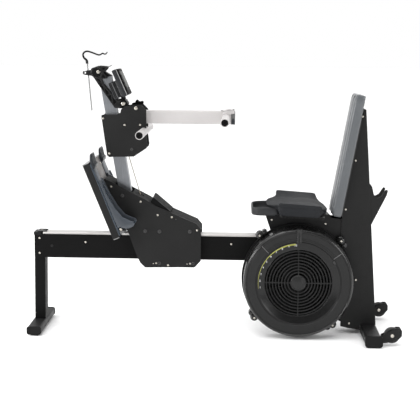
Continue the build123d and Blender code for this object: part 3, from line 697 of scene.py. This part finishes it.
def lug_bosses():
    """Moulded bosses and screws on the four lugs of the rear shell."""
    barrel = [(AXIS, -94), (10, -94), (14, -92), (15.5, -87), (15.5, -79), (18, -77), (19.5, -72),
              (19.5, -52), (16, -50), (AXIS, -50)]
    stub = [(AXIS, -86), (9, -86), (12, -84), (13, -70), (13, -50), (AXIS, -50)]
    rib = [(283, -74), (283, -70), (262, -70), (262, -74)]
    parts, heads = [], []
    for turn in (43, 131, 223, 308):
        x, z = around(WHEEL, 276, math.radians(turn))
        lower = around(WHEEL, 274, math.radians(turn - 5.5))
        parts += [(spun(barrel, (x, z), count=40), "gloss_plastic"),
                  (spun(stub, lower, count=28), "gloss_plastic")]
        heads.append(screw(x, 93.8, z, 5, 2.6, -1))
        for side in (-8, 8):
            middle = turn + math.degrees(side / 272)
            parts.append((turned(rib, *WHEEL, count=2, arc=(middle - 0.3, middle + 0.3)), "black_plastic"))
    piece("cage_lug_bosses", parts + heads, "frame", "black_plastic")


# ------------------------------------------------------------------ fasteners
NICKEL_BOLTS = [(-488, 701), (-347, 631), (-266, 568), (-199, 559), (-79, 497), (-216, 327)]
DARK_BOLTS = [(-435, 658), (-257, 489), (-325, 490.5), (-113, 490.5)]
WASHERS = [(-272, 336), (-111, 336)]
BOX_SCREWS = [(-529, 1023), (-499, 856), (-426, 993), (-353, 994)]


def fasteners():
    """Button-head screws with sockets, in place of the plain heads."""
    rows = ((33, ((-839, 441), (-839, 368), (-617, 424), (84, 425))),
            (48, ((666, 837), (624, 604), (680, 264), (652, 52), (694, 1045))),
            (43.95, ((276, 548), (531, 532))))
    parts = [screw(x, y, z, side=side) for y, spots in rows for x, z in spots for side in (-1, 1)]
    piece("frame_screw_heads", parts, "frame", "fastener", ["frame_screws"])
    parts = []
    for side in (-1, 1):
        parts += [screw(x, 74, z, side=side) for x, z in NICKEL_BOLTS]
        parts += [screw(x, 74, z, 9, 4, side, "dark_bolt", 0.42) for x, z in DARK_BOLTS]
        parts += [screw(x, 74, z, 4, 3, side) for x, z in WASHERS]
    axle = [(AXIS, -73.9), (5, -73.9), (6, -72.9), (6, 72.9), (5, 73.9), (AXIS, 73.9)]
    parts += [(spun(axle, roller), "fastener") for roller in DARK_BOLTS[-2:]]
    piece("carriage_bolt_heads", parts, "carriage", "dark_bolt", ["carriage_bolts"])
    parts = []
    for side in (-1, 1):
        parts += [screw(x, 50, z, side=side) for x, z in BOX_SCREWS]
        parts.append(screw(-393, 50, 877, 7, 3, side, "dark_bolt"))
        if side < 0:
            parts.append(screw(-373, 50.3, 1073, 8.6, 3.4, side))
    piece("arm_box_screw_heads", parts, "arm", "fastener", ["arm_box_screws"])


# ------------------------------------------------------------------ upholstery
BACK_FOOT, RECLINE = (600, 566), -10.2
BACK_LENGTH, BACK_THICK, BACK_HALF = 590, 45, 90
BACK_SEAM = 46


def back_block(inset):
    """Rounded block along the reclined pad; a negative inset makes it larger than its CAD solid."""
    place = tilted(BACK_FOOT, RECLINE)
    loops = []
    stations = 26
    for k in range(stations + 1):
        share = k / stations
        along = inset + (BACK_LENGTH - 2 * inset) * share
        ends = min(share, 1 - share) * BACK_LENGTH
        pull = 4.5 * max(0.0, 1 - ends / 7) ** 2
        half, front, rear = BACK_HALF - inset - pull, -BACK_THICK + inset + pull, -inset - 0.5 * pull
        section = rounded(box(-half, half, rear, front), [5, 5, 10, 10], 4)
        loops.append([(place(along, out)[0], across, place(along, out)[1]) for across, out in section])
    return loft(loops)


def inflate(made, pressure, cap):
    """Swells the mesh by a short cloth simulation and caps how far any point moves."""
    remesh = made.modifiers.new("remesh", "REMESH")
    remesh.mode = "VOXEL"
    remesh.voxel_size = 0.006
    apply_modifiers(made)
    rest = [v.co.copy() for v in made.data.vertices]
    cloth = made.modifiers.new("cloth", "CLOTH")
    cloth.settings.use_pressure = True
    cloth.settings.uniform_pressure_force = pressure
    cloth.settings.effector_weights.gravity = 0
    cloth.settings.tension_stiffness = 12
    cloth.settings.compression_stiffness = 12
    cloth.settings.bending_stiffness = 1.5
    first, last = 1, 20
    cloth.point_cache.frame_start, cloth.point_cache.frame_end = first, last
    scene = bpy.context.scene
    for moment in range(first, last + 1):
        scene.frame_set(moment)
    apply_modifiers(made)
    scene.frame_set(first)
    for vertex, start in zip(made.data.vertices, rest):
        move = vertex.co - start
        if move.length > cap:
            vertex.co = start + move.normalized() * cap


def apply_modifiers(made):
    """Replaces the mesh with what its modifiers make of it."""
    evaluated = made.evaluated_get(bpy.context.evaluated_depsgraph_get())
    mesh = bpy.data.meshes.new_from_object(evaluated)
    made.modifiers.clear()
    old = made.data
    made.data = mesh
    bpy.data.meshes.remove(old)


def backrest():
    """Upholstered pad with two long sewn channels on its front, very dark piping in them that paints the
    channels' shade, and their stitches.
    """
    pad = piece("backrest_cushion", [(back_block(-0.8), "back_vinyl")], "frame", "back_vinyl",
                ["backrest_pad"])
    inflate(pad, 4, 0.004)
    finer = pad.modifiers.new("finer", "SUBSURF")
    finer.levels = finer.render_levels = 1
    apply_modifiers(pad)
    lean = math.radians(-RECLINE)
    outward = Vector((-math.cos(lean), 0, math.sin(lean)))
    upward = Vector((math.sin(lean), 0, math.cos(lean)))
    foot = Vector((BACK_FOOT[0], 0, BACK_FOOT[1])) * MM
    channel, width = BACK_SEAM * MM, 3.6 * MM
    swell, groove = 0.004, 0.0085
    front_start, front_depth, end_fade, clearance = 0.026, 0.012, 0.02, 0.0004
    for vertex in pad.data.vertices:
        out = (vertex.co - foot).dot(outward)
        along = (vertex.co - foot).dot(upward)
        near = math.exp(-((abs(vertex.co.y) - channel) / width) ** 2)
        front = max(0.0, min(1.0, (out - front_start) / front_depth))
        crown = max(0.0, 1 - (vertex.co.y / channel) ** 2) if abs(vertex.co.y) < channel else 0.0
        reach = max(0.0, min(1.0, min(along, BACK_LENGTH * MM - along) / end_fade))
        vertex.co += outward * front * (reach * (swell * crown - groove * near))
        vertex.co += outward * max(0.0, clearance - out)
    pad.data.polygons.foreach_set("use_smooth", [True] * len(pad.data.polygons))
    pad.data.materials.clear()
    pad.data.materials.append(look["back_vinyl"])
    place = tilted(BACK_FOOT, RECLINE)
    parts, pitch, skin = [], 7.5, -BACK_THICK - 1.6
    for side in (-1, 1):
        for step in range(int((BACK_LENGTH - 40) / pitch)):
            along = 20 + pitch * step
            ends = [place(a, skin) for a in (along, along + pitch * 0.6)]
            start, stop = [Vector((x, side * (BACK_SEAM + 4.2), z)) for x, z in ends]
            parts.append((pipe([start, (start + stop) / 2, stop], 0.55, sides=1, order=2), "thread"))
        # Very dark piping along each channel, near the surface: painted shade of the groove.
        shade_piping = [place(along, skin) for along in (12, 200, 390, BACK_LENGTH - 12)]
        parts.append((pipe([(x, side * BACK_SEAM, z) for x, z in shade_piping], 2.4, sides=2), "shade_piping"))
    piece("backrest_stitches", parts, "frame", "back_vinyl")


# ------------------------------------------------------------------ seat and tray
def seat_plan(scale):
    """Closed plan outline of the seat, scaled about its middle."""
    half = [(249, 0), (250, 55), (256, 92), (276, 122), (296, 144), (301, 165), (301, 203), (306, 211),
            (316, 213), (400, 213), (486, 213), (496, 210), (500, 200), (502, 172), (507, 150), (520, 112),
            (533, 70), (541, 0)]
    middle, count = 400, 96
    loop = half + [(x, -y) for x, y in reversed(half[1:-1])]
    lengths = [0.0]
    for here, there in zip(loop, loop[1:] + loop[:1]):
        lengths.append(lengths[-1] + math.dist(here, there))
    made, index = [], 0
    for k in range(count):
        target = lengths[-1] * k / count
        while lengths[index + 1] < target:
            index += 1
        share = (target - lengths[index]) / (lengths[index + 1] - lengths[index])
        here, there = Vector(loop[index]), Vector(loop[(index + 1) % len(loop)])
        point = here.lerp(there, share)
        made.append((middle + (point.x - middle) * scale, point.y * scale))
    return made


def seat_top(x, y):
    """Height of the sitting surface: a dish between two raised sides, falling off at the back."""
    tail = max(0.0, (x - 430) / 68)
    nose = max(0.0, (300 - x) / 50)
    middle = 633 - 6 * nose ** 2 - 13 * tail ** 1.6 - 3 * math.exp(-(y / 70) ** 2)
    crest = 656 - 0.068 * (x - 307)
    side = max(0.0, min(1.0, (abs(y) - 120) / 84))
    crease = 1.8 * math.exp(-((abs(y) - 122) / 5) ** 2)
    return middle + (crest - middle) * side ** 1.5 - crease


def seat_floor(x):
    """Height of the shell's lower edge: a thin lip in front, deep sides behind it."""
    return 595 - 0.05 * (x - 301) + 24 * max(0.0, min(1.0, (306 - x) / 10))


def seat():
    """Moulded saddle with a rolled edge, two creases round its side and a ribbed underside."""
    loops = []
    for scale in (0.02, 0.15, 0.3, 0.44, 0.56, 0.66, 0.75, 0.83, 0.9, 0.95):
        loops.append([(x, y, seat_top(x, y)) for x, y in seat_plan(scale)])
    rolled = [(0.972, -0.6), (0.982, -0.9), (0.993, -2.8), (0.999, -6.5), (1.0, -10), (0.997, -16),
              (0.985, -18.5), (0.985, -21), (0.993, -24), (0.996, -30), (0.992, -38), (0.978, -41),
              (0.976, -46), (0.962, -52), (0.95, -57)]
    full_drop = 58
    for scale, drop in rolled:
        loop = []
        for x, y in seat_plan(scale):
            top, floor = seat_top(x, y), seat_floor(x)
            loop.append((x, y, max(top + drop * (top - floor) / full_drop, floor)))
        loops.append(loop)
    loops.append([(x, y, seat_floor(x) - 6) for x, y in seat_plan(0.84)])
    piece("seat_saddle", [(loft(loops), "seat_skin")], "frame", "seat_skin", ["seat_shell"], angle=60,
          smooth=1)
    parts = []
    base = rounded(box(308, 515, -198, 198), 16)
    loops = [[(x, y, z - 0.05 * (x - 301)) for x, y in base] for z in (599, 597, 590, 588)]
    parts.append((loft(loops), "black_plastic"))
    for step in range(12):
        x = 318 + 16 * step
        for side in (-1, 1):
            parts.append((sided([box(x - 1.5, x + 1.5, 597, 584)], side, 44, 203, 0.5), "black_plastic"))
    pedestal = rounded([(320, 576.5), (516, 576.5), (510, 591), (326, 591)], 3)
    parts.append((slab([pedestal], -43, 43, 1.5), "black_plastic"))
    piece("seat_base", parts, "frame", "black_plastic")


def tray_plan(inset):
    """Rounded plan of the front tray."""
    outline = box(177 + inset, 305 - inset, -108 + inset, 108 - inset)
    wide = 52 - min(inset, 20)
    return rounded(outline, [wide, 18, 18, wide], 17)


def tray():
    """Open moulded tray with a thick rounded rim."""
    steps = [(9, 577), (3, 578.5), (0.8, 583), (0, 592), (0, 606), (0.8, 611), (2.4, 613.6), (4.5, 614.6),
             (6.6, 613.6), (8, 611), (9, 604), (11, 590), (15, 584.5), (24, 582.6), (40, 582.4)]
    loops = [[(x, y, z + max(0, z - 586) / 28 * 0.03 * (x - 177)) for x, y in tray_plan(inset)]
             for inset, z in steps]
    piece("front_tray_bowl", [(loft(loops), "tray_plastic")], "frame", "tray_plastic", ["front_tray"],
          angle=60)


# ------------------------------------------------------------------ monitor, its fork and the device holder
PIVOT, FORK_BOSS, ROD_EYE = (-435, 1093), (-563, 1239), (-621, 1237)


def monitor():
    """Display with a silver rim and a liquid-crystal panel, two ribbed packs and the tilting yoke."""
    place = tilted(PIVOT, 24)

    def shape(points, radius):
        """Rounded outline from (along, out) points on the tilted display."""
        return rounded([place(*p) for p in points], radius)

    parts = [(slab([shape([(27, 16), (163, 16), (163, 37), (29, 37)], 5)], -75, 75, 3), "shell_plastic"),
             (slab([shape([(27, 36.8), (164, 36.8), (163.4, 40.4), (28, 40.4)], 1.2)], -75, 75, 1),
              "silver_plastic"),
             (slab([shape([(29, 40), (162, 40), (158, 46), (33, 46)], 1.5)], -73, 73, 1), "deep_black"),
             (slab([shape(box(64, 146, 45.6, 47), 0.4)], -42, 58, 0.3), "lcd_glass")]
    for along in range(44, 149, 26):
        parts.append((slab([shape(box(along, along + 3, 14.6, 17), 0.6)], -66, 66, 0.6), "black_plastic"))
    for along in range(40, 146, 21):
        bump = shape([(along, 42.5), (along + 11, 42.5), (along + 9.5, 49), (along + 1.5, 49)], 1.6)
        parts.append((slab([bump], -74.5, -69.5, 0.8), "deep_black"))
    for side in (-1, 1):
        pack = shape([(33, -26), (115, -25), (115, 17), (33, 17)], 5)
        parts.append((sided([pack], side, 35, 60, 2.5), "shell_plastic"))
        for step in range(6):
            out = -21 + 6.2 * step
            rib = shape(box(38, 110, out, out + 2.6), 1)
            parts.append((slab([rib], side * 60 - 1.4, side * 60 + 1.4, 0.7),
                          "cap_grey" if step % 3 == 2 else "deep_black"))
    parts.append((slab([shape([(-6, -12), (62, 8), (62, 20), (20, 17), (-8, 12)], 4)], -18, 18, 2),
                  "fork_plastic"))
    yoke = [(AXIS, -20.5), (17, -20.5), (21, -18), (21, 18), (17, 20.5), (AXIS, 20.5)]
    parts.append((spun(yoke, PIVOT, count=48), "fork_plastic"))
    washer = [(AXIS, 34.3), (17, 34.3), (18, 35), (17, 35.8), (AXIS, 35.8)]
    for side in (-1, 1):
        parts += [(spun(washer, PIVOT, side, 48), "deep_black"),
                  (bar(5.8, 20, 35, PIVOT, side), "fastener"),
                  screw(PIVOT[0], 35.4, PIVOT[1], 9.4, 2.2, side)]
    piece("monitor_display", parts, "monitor", "black_plastic", ["monitor_housing"])


def monitor_fork():
    """Two truss arms with a boss, a lug with a through hole and a thin prong."""
    outer = [(-585, 1260), (-552, 1271), (-511, 1268), (-513, 1258), (-530, 1240), (-507, 1212),
             (-536, 1209), (-530, 1190), (-494, 1149), (-466, 1114), (-424, 1112), (-413, 1093),
             (-424, 1072), (-447, 1070), (-476, 1072), (-578, 1217), (-588, 1226), (-590, 1252)]
    holes = [[(-534, 1262), (-518, 1262), (-534, 1246)], [(-532, 1234), (-517, 1214), (-537, 1215)],
             [(-541, 1258), (-546, 1216), (-553, 1216)], [(-548, 1208), (-537, 1188), (-567, 1212)],
             [(-556, 1194), (-540, 1179), (-534, 1184)], [(-531, 1174), (-548, 1182), (-521, 1143)],
             [(-524, 1168), (-500, 1141), (-514, 1134)], [(-494, 1135), (-509, 1127), (-488, 1097)],
             [(-486, 1125), (-466, 1100), (-480, 1087)]]
    web = [(-583, 1254), (-552, 1268), (-515, 1264), (-531, 1240), (-511, 1213), (-538, 1210), (-532, 1190),
           (-496, 1149), (-468, 1112), (-456, 1076), (-476, 1076), (-576, 1217), (-584, 1228)]
    truss = [rounded(outer, 4)] + [rounded(hole, 1.6, 3) for hole in holes] + [circle(PIVOT, 6.4, 24)]
    disc = [(AXIS, 35.6), (19.5, 35.6), (21, 34), (21, 24), (AXIS, 24)]
    ring = [(22.5, 34.8), (24.5, 34.8), (25.5, 33), (22.5, 33)]
    parts = []
    for side in (-1, 1):
        parts += [(sided(truss, side, 23.5, 34, 1.2), "fork_plastic"),
                  (sided([rounded(web, 2)], side, 26, 30.5, 0.5), "deep_black"),
                  (spun(disc, FORK_BOSS, side, 60), "deep_black"),
                  (spun(ring, FORK_BOSS, side, 60, closed=True), "fork_plastic"),
                  screw(-554, 35.6, 1242, 7.6, 3, side)]
    spar = rounded([(-592, 1227), (-552, 1225), (-552, 1253), (-592, 1250)], 4)
    parts.append((slab([spar], -24, 24, 1.5), "fork_plastic"))
    lug = rounded([(-632, 1230), (-622, 1226.5), (-586, 1222), (-586, 1251.5), (-622, 1245.5), (-632, 1243)],
                  4)
    hole = circle(ROD_EYE, 4.9, 24)
    ear = rounded([(-632, 1230), (-622, 1226.5), (-610, 1225), (-612.2, 1247.1), (-622, 1245.5),
                   (-632, 1243)], [4, 4, 0.5, 0.5, 4, 4])
    root = rounded([(-601.9, 1224), (-586, 1222), (-586, 1251.5), (-604.2, 1248.5)], 0.5)
    parts += [(slab([ear, hole], -4, 4, 0.4), "fork_plastic"), (slab([root], -4, 4, 0.4), "fork_plastic")]
    for side in (-1, 1):
        parts.append((sided([lug, hole], side, 3.6, 10, 1.4), "fork_plastic"))
    bead = [(4.9, -10), (7.5, -10), (8, -9.4), (7.5, -8.8), (4.9, -8.8)]
    parts.append((turned(bead, *ROD_EYE, count=32), "silver_plastic"))
    prong = rounded([(-517, 1264), (-509, 1263), (-491, 1271), (-489, 1274), (-494, 1274), (-508, 1267),
                     (-518, 1268)], 0.8, 2)
    parts.append((slab([prong], -30, -26, 0.6), "cap_grey"))
    piece("monitor_fork_truss", parts, "carriage", "black_plastic", ["monitor_fork"], angle=30)


def rod_line(share):
    """Point on the middle line of the straight wire, from its foot to the hook's sleeve."""
    low, high = Vector((-590, 1059)), Vector((-611.5, 1283))
    return low.lerp(high, share)


def device_rod():
    """Nickel wire with a black dipped hook that starts in a thick ribbed sleeve."""
    low, high = rod_line(0), rod_line(1)
    ball = [(AXIS, -3.2), (2.3, -2.3), (3.2, 0), (2.3, 2.3), (AXIS, 3.2)]
    ends = [(p.x, 0, p.y) for p in (low, rod_line(0.5), high)]
    parts = [(pipe(ends, 3.2, order=2), "wire"), (spun(ball, low, count=20), "wire")]
    route = [(-611.4, 1280), (-612.0, 1286), (-613, 1296), (-628, 1307), (-633, 1324), (-624, 1336),
             (-609, 1339.5), (-583, 1331), (-557, 1320.5), (-546, 1324), (-538, 1331), (-529, 1325),
             (-521, 1327), (-515, 1336)]
    taper = [1.4, 1.5, 1.35, 1.15, 1.05, 1, 1, 0.95, 0.9, 0.85, 0.8, 0.75, 0.7, 0.5]
    parts.append((pipe([(x, 0, z) for x, z in route], 4.1, sides=4, taper=taper), "black_plastic"))
    sleeve = 1281
    for step in range(4):
        z = sleeve + 3.1 * step
        loop = circle((-611.4 - 0.22 * (z - sleeve), 0), 6.4, 20)
        parts.append((loft([[(x, y, z + lift) for x, y in loop] for lift in (-0.8, 0.8)]), "black_plastic"))
    piece("device_holder_hook", parts, "rod", "wire", ["device_rod"], angle=40)


# ------------------------------------------------------------------ footplates
FOOT = tilted((-437, 478), 22.4)


def foot_shape(points, radius, steps=5):
    """Rounded outline from (along, out) points on the footplate."""
    return rounded([FOOT(*p) for p in points], radius, steps)


def footplates():
    """Pale lips and the plate between the beds, ridged foot beds with toe fins, and curved heel cups."""
    parts = []
    for along in (-0.6, 373.4):
        lip = foot_shape(box(along, along + 3.2, -26, 4.6), 1)
        parts.append((slab([lip], -190.6, 190.6, 0.8), "silver_plastic"))
    parts += [(slab([foot_shape(box(6, 370, 5.1, 8.4), 1)], -87, 87, 0.8), "taupe_plate"),
              (slab([foot_shape(box(368, 374, 4.8, 10), 1.5)], -87, 87, 1), "taupe_plate")]
    for side in (-1, 1):
        for along in (40, 340):
            x, z = FOOT(along, 8.4)
            parts.append((socket_head((x, side * 70, z), 6, 2.6, foot_out()), "fastener"))
    piece("footplate_face", parts, "carriage", "frame_paint")

    parts = []
    for side in (-1, 1):
        parts.append((sided([foot_shape(box(8, 366, 5.1, 11), 1.6)], side, 88.5, 190, 1.5), "foot_plastic"))
        for along in range(150, 350, 10):
            rib = foot_shape([(along, 10.6), (along + 4, 10.6), (along + 3, 12.3), (along + 1, 12.3)],
                             0.4, 2)
            parts.append((sided([rib], side, 97, 181, 0.4), "foot_plastic"))
        fin = foot_shape([(338, 11.5), (341, 15), (346, 22), (353, 26), (362, 21), (380, 22), (400, 27),
                          (409, 28), (411, 25.5), (402, 19), (388, 13.5), (372, 9.5), (362, 8)], 3)
        parts.append((sided([fin], side, 92, 186, 2.2), "toe_plastic"))
        ridge = foot_shape([(356, 25.5), (366, 21.4), (384, 23.8), (404, 28.4), (404, 29), (384, 25.4),
                            (366, 23.2), (358, 27.5)], 0.6, 2)
        for step in range(10):
            across = 96 + 9.2 * step
            parts.append((sided([ridge], side, across, across + 4, 0.5), "toe_plastic"))
    piece("foot_bed_pads", parts, "carriage", "foot_plastic", ["foot_beds"], angle=30)
    for side, name in ((1, "right"), (-1, "left")):
        heel_cup(side, name)


def foot_out():
    """Direction out of the footplate's face."""
    foot, tip = Vector(FOOT(0, 0)), Vector(FOOT(0, 1))
    return (tip.x - foot.x, 0, tip.y - foot.y)


def heel_cup(side, name):
    """Curved cup: two raised walls, a thin ribbed sole between them, and a hinge block with its screw."""
    wall = [(42, 12.6), (46, 26), (36, 33), (31, 44), (24, 60), (26, 84), (34, 94), (46, 92), (56, 80),
            (82, 54), (133, 37), (207, 25), (281, 20), (286, 12.6)]
    sole = [(40, 12.6), (47, 24), (37, 36), (30, 50), (27, 62), (28, 84), (32, 90), (37, 88), (34, 64),
            (38, 50), (46, 40), (60, 27), (90, 20), (150, 17), (280, 15.5), (284, 12.6)]
    parts = [(sided([foot_shape(wall, 5, 4)], side, edge, edge + 6.4, 2.4), "cup_plastic")
             for edge in (88.8, 183)]
    parts.append((sided([foot_shape(sole, 3, 4)], side, 93, 185, 0.8), "foot_plastic"))
    for along in range(96, 251, 22):
        rib = foot_shape([(along, 15), (along + 8, 15), (along + 7, 20.5), (along + 1, 20.5)], 1, 2)
        parts.append((sided([rib], side, 99, 179, 0.8), "foot_plastic"))
    block = foot_shape([(14, 12.6), (26, 12.6), (26, 28), (20, 36), (12, 36), (12, 20)], 2)
    link = foot_shape(box(14, 60, 12.6, 15), 0.8, 2)
    x, z = FOOT(33, 24)
    parts += [(sided([block], side, 120, 186, 1.2), "cap_grey"),
              (sided([link], side, 120, 186, 0.8), "foot_plastic"),
              screw(x, 186.4, z, 6.4, 3, side),
              (bar(3, 118, 186.4, (x, z), side, 16), "fastener")]
    piece("heel_cup_shell_" + name, parts, "heel_" + name, "foot_plastic", ["heel_cup_" + name], angle=40)


# ------------------------------------------------------------------ carriage trim, arm, casters
def carriage_trim():
    """Side cheeks of the belt hood, washers and small screws on the carriage, and a block under it."""
    cheek = [(-304, 626), (-291, 652), (-284, 652), (-206, 586), (-210, 580), (-284, 640), (-295, 622)]
    washer = [(4, 74.1), (8, 74.1), (8, 75.6), (6.4, 76), (4, 75)]
    parts = []
    for side in (-1, 1):
        parts.append((sided([rounded(cheek, 2)], side, 66, 69.6, 0.8), "shell_plastic"))
        for x, z in WASHERS:
            parts += [(spun(washer, (x + 14, z), side, 28, closed=True), "dark_bolt"),
                      screw(x - 14, 74.1, z - 2, 2.6, 1.6, side)]
        parts.append(screw(-179, 74.1, 549, 3, 1.6, side, "dark_bolt"))
    foot = rounded([(-181, 309), (-157, 309), (-153, 316), (-185, 316)], 2)
    parts.append((slab([foot], -22, 22, 1), "black_plastic"))
    piece("carriage_trim", parts, "carriage", "black_plastic")


def end_cap_top():
    """Moulded top of the beam's end cap: two lobes round a screw, and a rolled edge."""
    parts = []
    outline = rounded([(-852, -12), (-816, -12), (-804, 0), (-816, 12), (-852, 12)], 6)
    for y in (-17, 17):
        lobe = [(x, y + v) for x, v in outline]
        loops = [[(-834 + (x + 834) * k, y + (v - y) * k, z) for x, v in lobe]
                 for k, z in ((1, 472), (1, 474.2), (0.93, 475.4), (0.8, 475.8))]
        parts.append((loft(loops), "gloss_plastic"))
    parts.append((socket_head((-834, 0, 472.5), 6.4, 3, (0, 0, 1)), "fastener"))
    piece("end_cap_lobes", parts, "frame", "black_plastic", angle=40)


def arm_end():
    """Saddle that clamps the high grip, its bolts, and the skirted end cap with grip plugs."""
    low_grip, high_grip = (-336, 962), (52, 1030)
    strap = rounded([(28, 1034), (34, 1052), (46, 1061), (60, 1070), (76, 1070), (84, 1064), (93, 1063),
                     (93, 1050), (74, 1050), (72, 1006), (52, 1002), (33, 1012)], 5)
    collar = [(19.3, 25), (22.5, 25), (23.5, 26.2), (22.5, 27.6), (19.3, 27.6)]
    parts = []
    for side in (-1, 1):
        parts += [(sided([strap, circle(high_grip, 19.3, 40)], side, 22.2, 25.6, 1.1), "arm_paint"),
                  (spun(collar, high_grip, side, 56, closed=True), "arm_paint")]
    top = rounded([(34, 1062.2), (93, 1062.2), (93, 1066), (84, 1066), (76, 1071), (60, 1071), (50, 1066),
                   (34, 1065)], 2)
    parts.append((slab([top], -25.6, 25.6, 1.2), "arm_paint"))
    for x, z, way in ((34, 1062, 1), (87, 1066, 1), (30, 999, -1)):
        for y in (-12, 12):
            parts.append((socket_head((x, y, z), 5.4, 3.2, (0, 0, way)), "dark_bolt"))
    piece("grip_saddle", parts, "arm", "arm_paint", angle=34)

    parts = [(slab([rounded(box(76, 95.5, 998, 1048), 3)], -23.6, 23.6, 1.6), "cap_grey"),
             (slab([rounded(box(88, 96, 1000, 1061), 2.5)], -22, 22, 1.6), "cap_grey")]
    arch = rounded([(78, 1000), (93, 1000), (93, 1020), (89, 1028), (84, 1028), (79, 1018)], 2)
    for side in (-1, 1):
        parts.append((sided([arch], side, 22.6, 24.2, 0.6), "toe_plastic"))
    for grip, half in ((low_grip, 250), (high_grip, 335)):
        plug = [(4.5, half - 1.6), (6, half - 1), (14.6, half - 1), (15.9, half - 2), (15.9, half - 20),
                (4.5, half - 20)]
        for side in (-1, 1):
            parts += [(spun(plug, grip, side, 48, closed=True), "deep_black"),
                      (bar(4.6, half - 5, half - 8, grip, side), "deep_black")]
    piece("arm_end_caps", parts, "arm", "dark_knob", ["arm_plugs"])


def clamp_knob():
    """Seven-lobed knob with rounded lobes, a dished face and its stud."""
    x, z = -373, 1073
    loops = []
    for grow, y in ((0.90, 54), (0.97, 55.5), (1, 58), (1, 76), (0.97, 79.5), (0.9, 81.6), (0.72, 82),
                    (0.45, 80), (0.1, 79.4)):
        loop = []
        count = 140
        for k in range(count):
            angle = math.tau * k / count
            radius = grow * (31 + 4 * math.cos(7 * angle) * min(1, grow ** 4))
            loop.append((x + radius * math.cos(angle), y, z + radius * math.sin(angle)))
        loops.append(loop)
    parts = [(loft(loops), "dark_knob")]
    stud = [(AXIS, -58), (4.9, -58), (4.9, 50), (12, 50.5), (12, 54), (AXIS, 54)]
    parts += [(spun(stud, (x, z), count=32), "fastener"), screw(x, 50.4, z, 9, 6.4, -1)]
    piece("clamp_knob_grip", parts, "knob", "dark_knob", ["clamp_knob"], angle=50)


def lift_cord():
    """Three-strand cord from the carriage cover up into the arm box."""
    low, high = Vector((-353, 0, 646)), Vector((-412, 0, 839))
    axis = (high - low).normalized()
    side = Vector((0, 1, 0))
    other = axis.cross(side)
    points, faces = [], []
    strands, turns, steps = 3, 11, 110
    for strand in range(strands):
        route = []
        for k in range(steps + 1):
            angle = math.tau * (strand / strands + turns * k / steps)
            route.append(tuple(low.lerp(high, k / steps) + side * math.cos(angle) + other * math.sin(angle)))
        some_points, some_faces = pipe(route, 1.15, sides=1, order=2)
        faces += [tuple(len(points) + i for i in f) for f in some_faces]
        points += some_points
    mesh = bpy.data.meshes.new("lift_cord_strands")
    mesh.from_pydata([tuple(c * MM for c in p) for p in points], [], faces)
    mesh.polygons.foreach_set("use_smooth", [True] * len(faces))
    mesh.materials.append(look["cord"])
    cord = put("lift_cord_strands", mesh)
    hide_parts("lift_cord")
    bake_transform(cord)


def casters():
    """Wheels with a rounded tread and ribbed hubs, the arms that carry them, and big bright axle bolts."""
    wheel = x, z = 830, 50
    tread = [(27, 211.5), (31, 210.2), (34.5, 210.6), (36.6, 213.5), (37, 218), (36.2, 219.2), (36.2, 220.8),
             (37, 222), (36.6, 226.5), (34.5, 229.4), (31, 229.8), (27, 228.5)]
    hub = [(4.08, 209.6), (12, 209.6), (14, 211), (14.5, 216), (26, 217), (28.4, 213), (28.4, 227),
           (26, 223), (14.5, 224), (14, 229), (12, 230.4), (4.08, 230.4)]
    for side, name in ((1, "right"), (-1, "left")):
        parts = [(spun(tread, wheel, side, 72, closed=True), "wheel_tread"),
                 (spun(hub, wheel, side, 72, closed=True), "shell_plastic")]
        for turn in range(6):
            outline = spoke(wheel, 60 * turn, ((12, -1.6), (28, -1.2), (28, 1.2), (12, 1.6)))
            parts.append((sided([outline], side, 212, 228, 0.6), "shell_plastic"))
        piece("caster_tyre_" + name, parts, "caster_" + name, "wheel_tread", ["caster_wheel_" + name],
              angle=30)
    plate = rounded([(780.2, 16), (780.2, 50), (800, 60), (848, 86), (866, 86), (874.5, 74), (874.5, 50),
                     (862, 36), (806, 16)], [1, 3, 6, 10, 8, 8, 8, 10, 6])
    opening = rounded([(788, 23), (788, 46), (803, 53), (850, 78), (862, 78), (867, 70), (867, 53),
                       (858, 43), (804, 23)], 5)
    drilled = [plate, circle(wheel, 4.4, 20)]
    parts = []
    for side in (-1, 1):
        for inner in (205, 231):
            parts.append((sided(drilled, side, inner, inner + 4, 0.9), "frame_paint"))
        parts += [(sided([plate, opening], side, 234.4, 235.6, 0.5), "frame_paint"),
                  (sided([rounded(box(780.2, 786, 16, 46), 1)], side, 205, 235, 0.8), "frame_paint")]
    piece("caster_arms", parts, "frame", "frame_paint", ["caster_brackets"])
    ring = [(8.4, 235.05), (10.5, 235.05), (10.5, 235.8), (8.4, 235.8)]
    parts = []
    for side in (-1, 1):
        parts += [(bar(3.95, 204.5, 235.6, wheel, side), "fastener"),
                  screw(x, 235.1, z, 8, 3, side, socket=0.4),
                  (socket_head((x, side * 204.9, z), 8, 2.8, (0, -side, 0), 0.4), "fastener"),
                  (spun(ring, wheel, side, 40, closed=True), "dark_bolt")]
    axle = [(AXIS, -33.2), (5.6, -33.2), (6, -32.8), (6, 32.8), (5.6, 33.2), (AXIS, 33.2)]
    parts.append((spun(axle, (-780, 404), count=32), "frame_paint"))
    piece("axle_bolts", parts, "frame", "fastener", ["fixed_axles"])


camera()
look = make_materials()
dress_nodes()
cage()
dial_print()
damper()
lug_bosses()
fasteners()
backrest()
seat()
tray()
monitor()
monitor_fork()
device_rod()
footplates()
carriage_trim()
end_cap_top()
arm_end()
clamp_knob()
lift_cord()
casters()
stage()
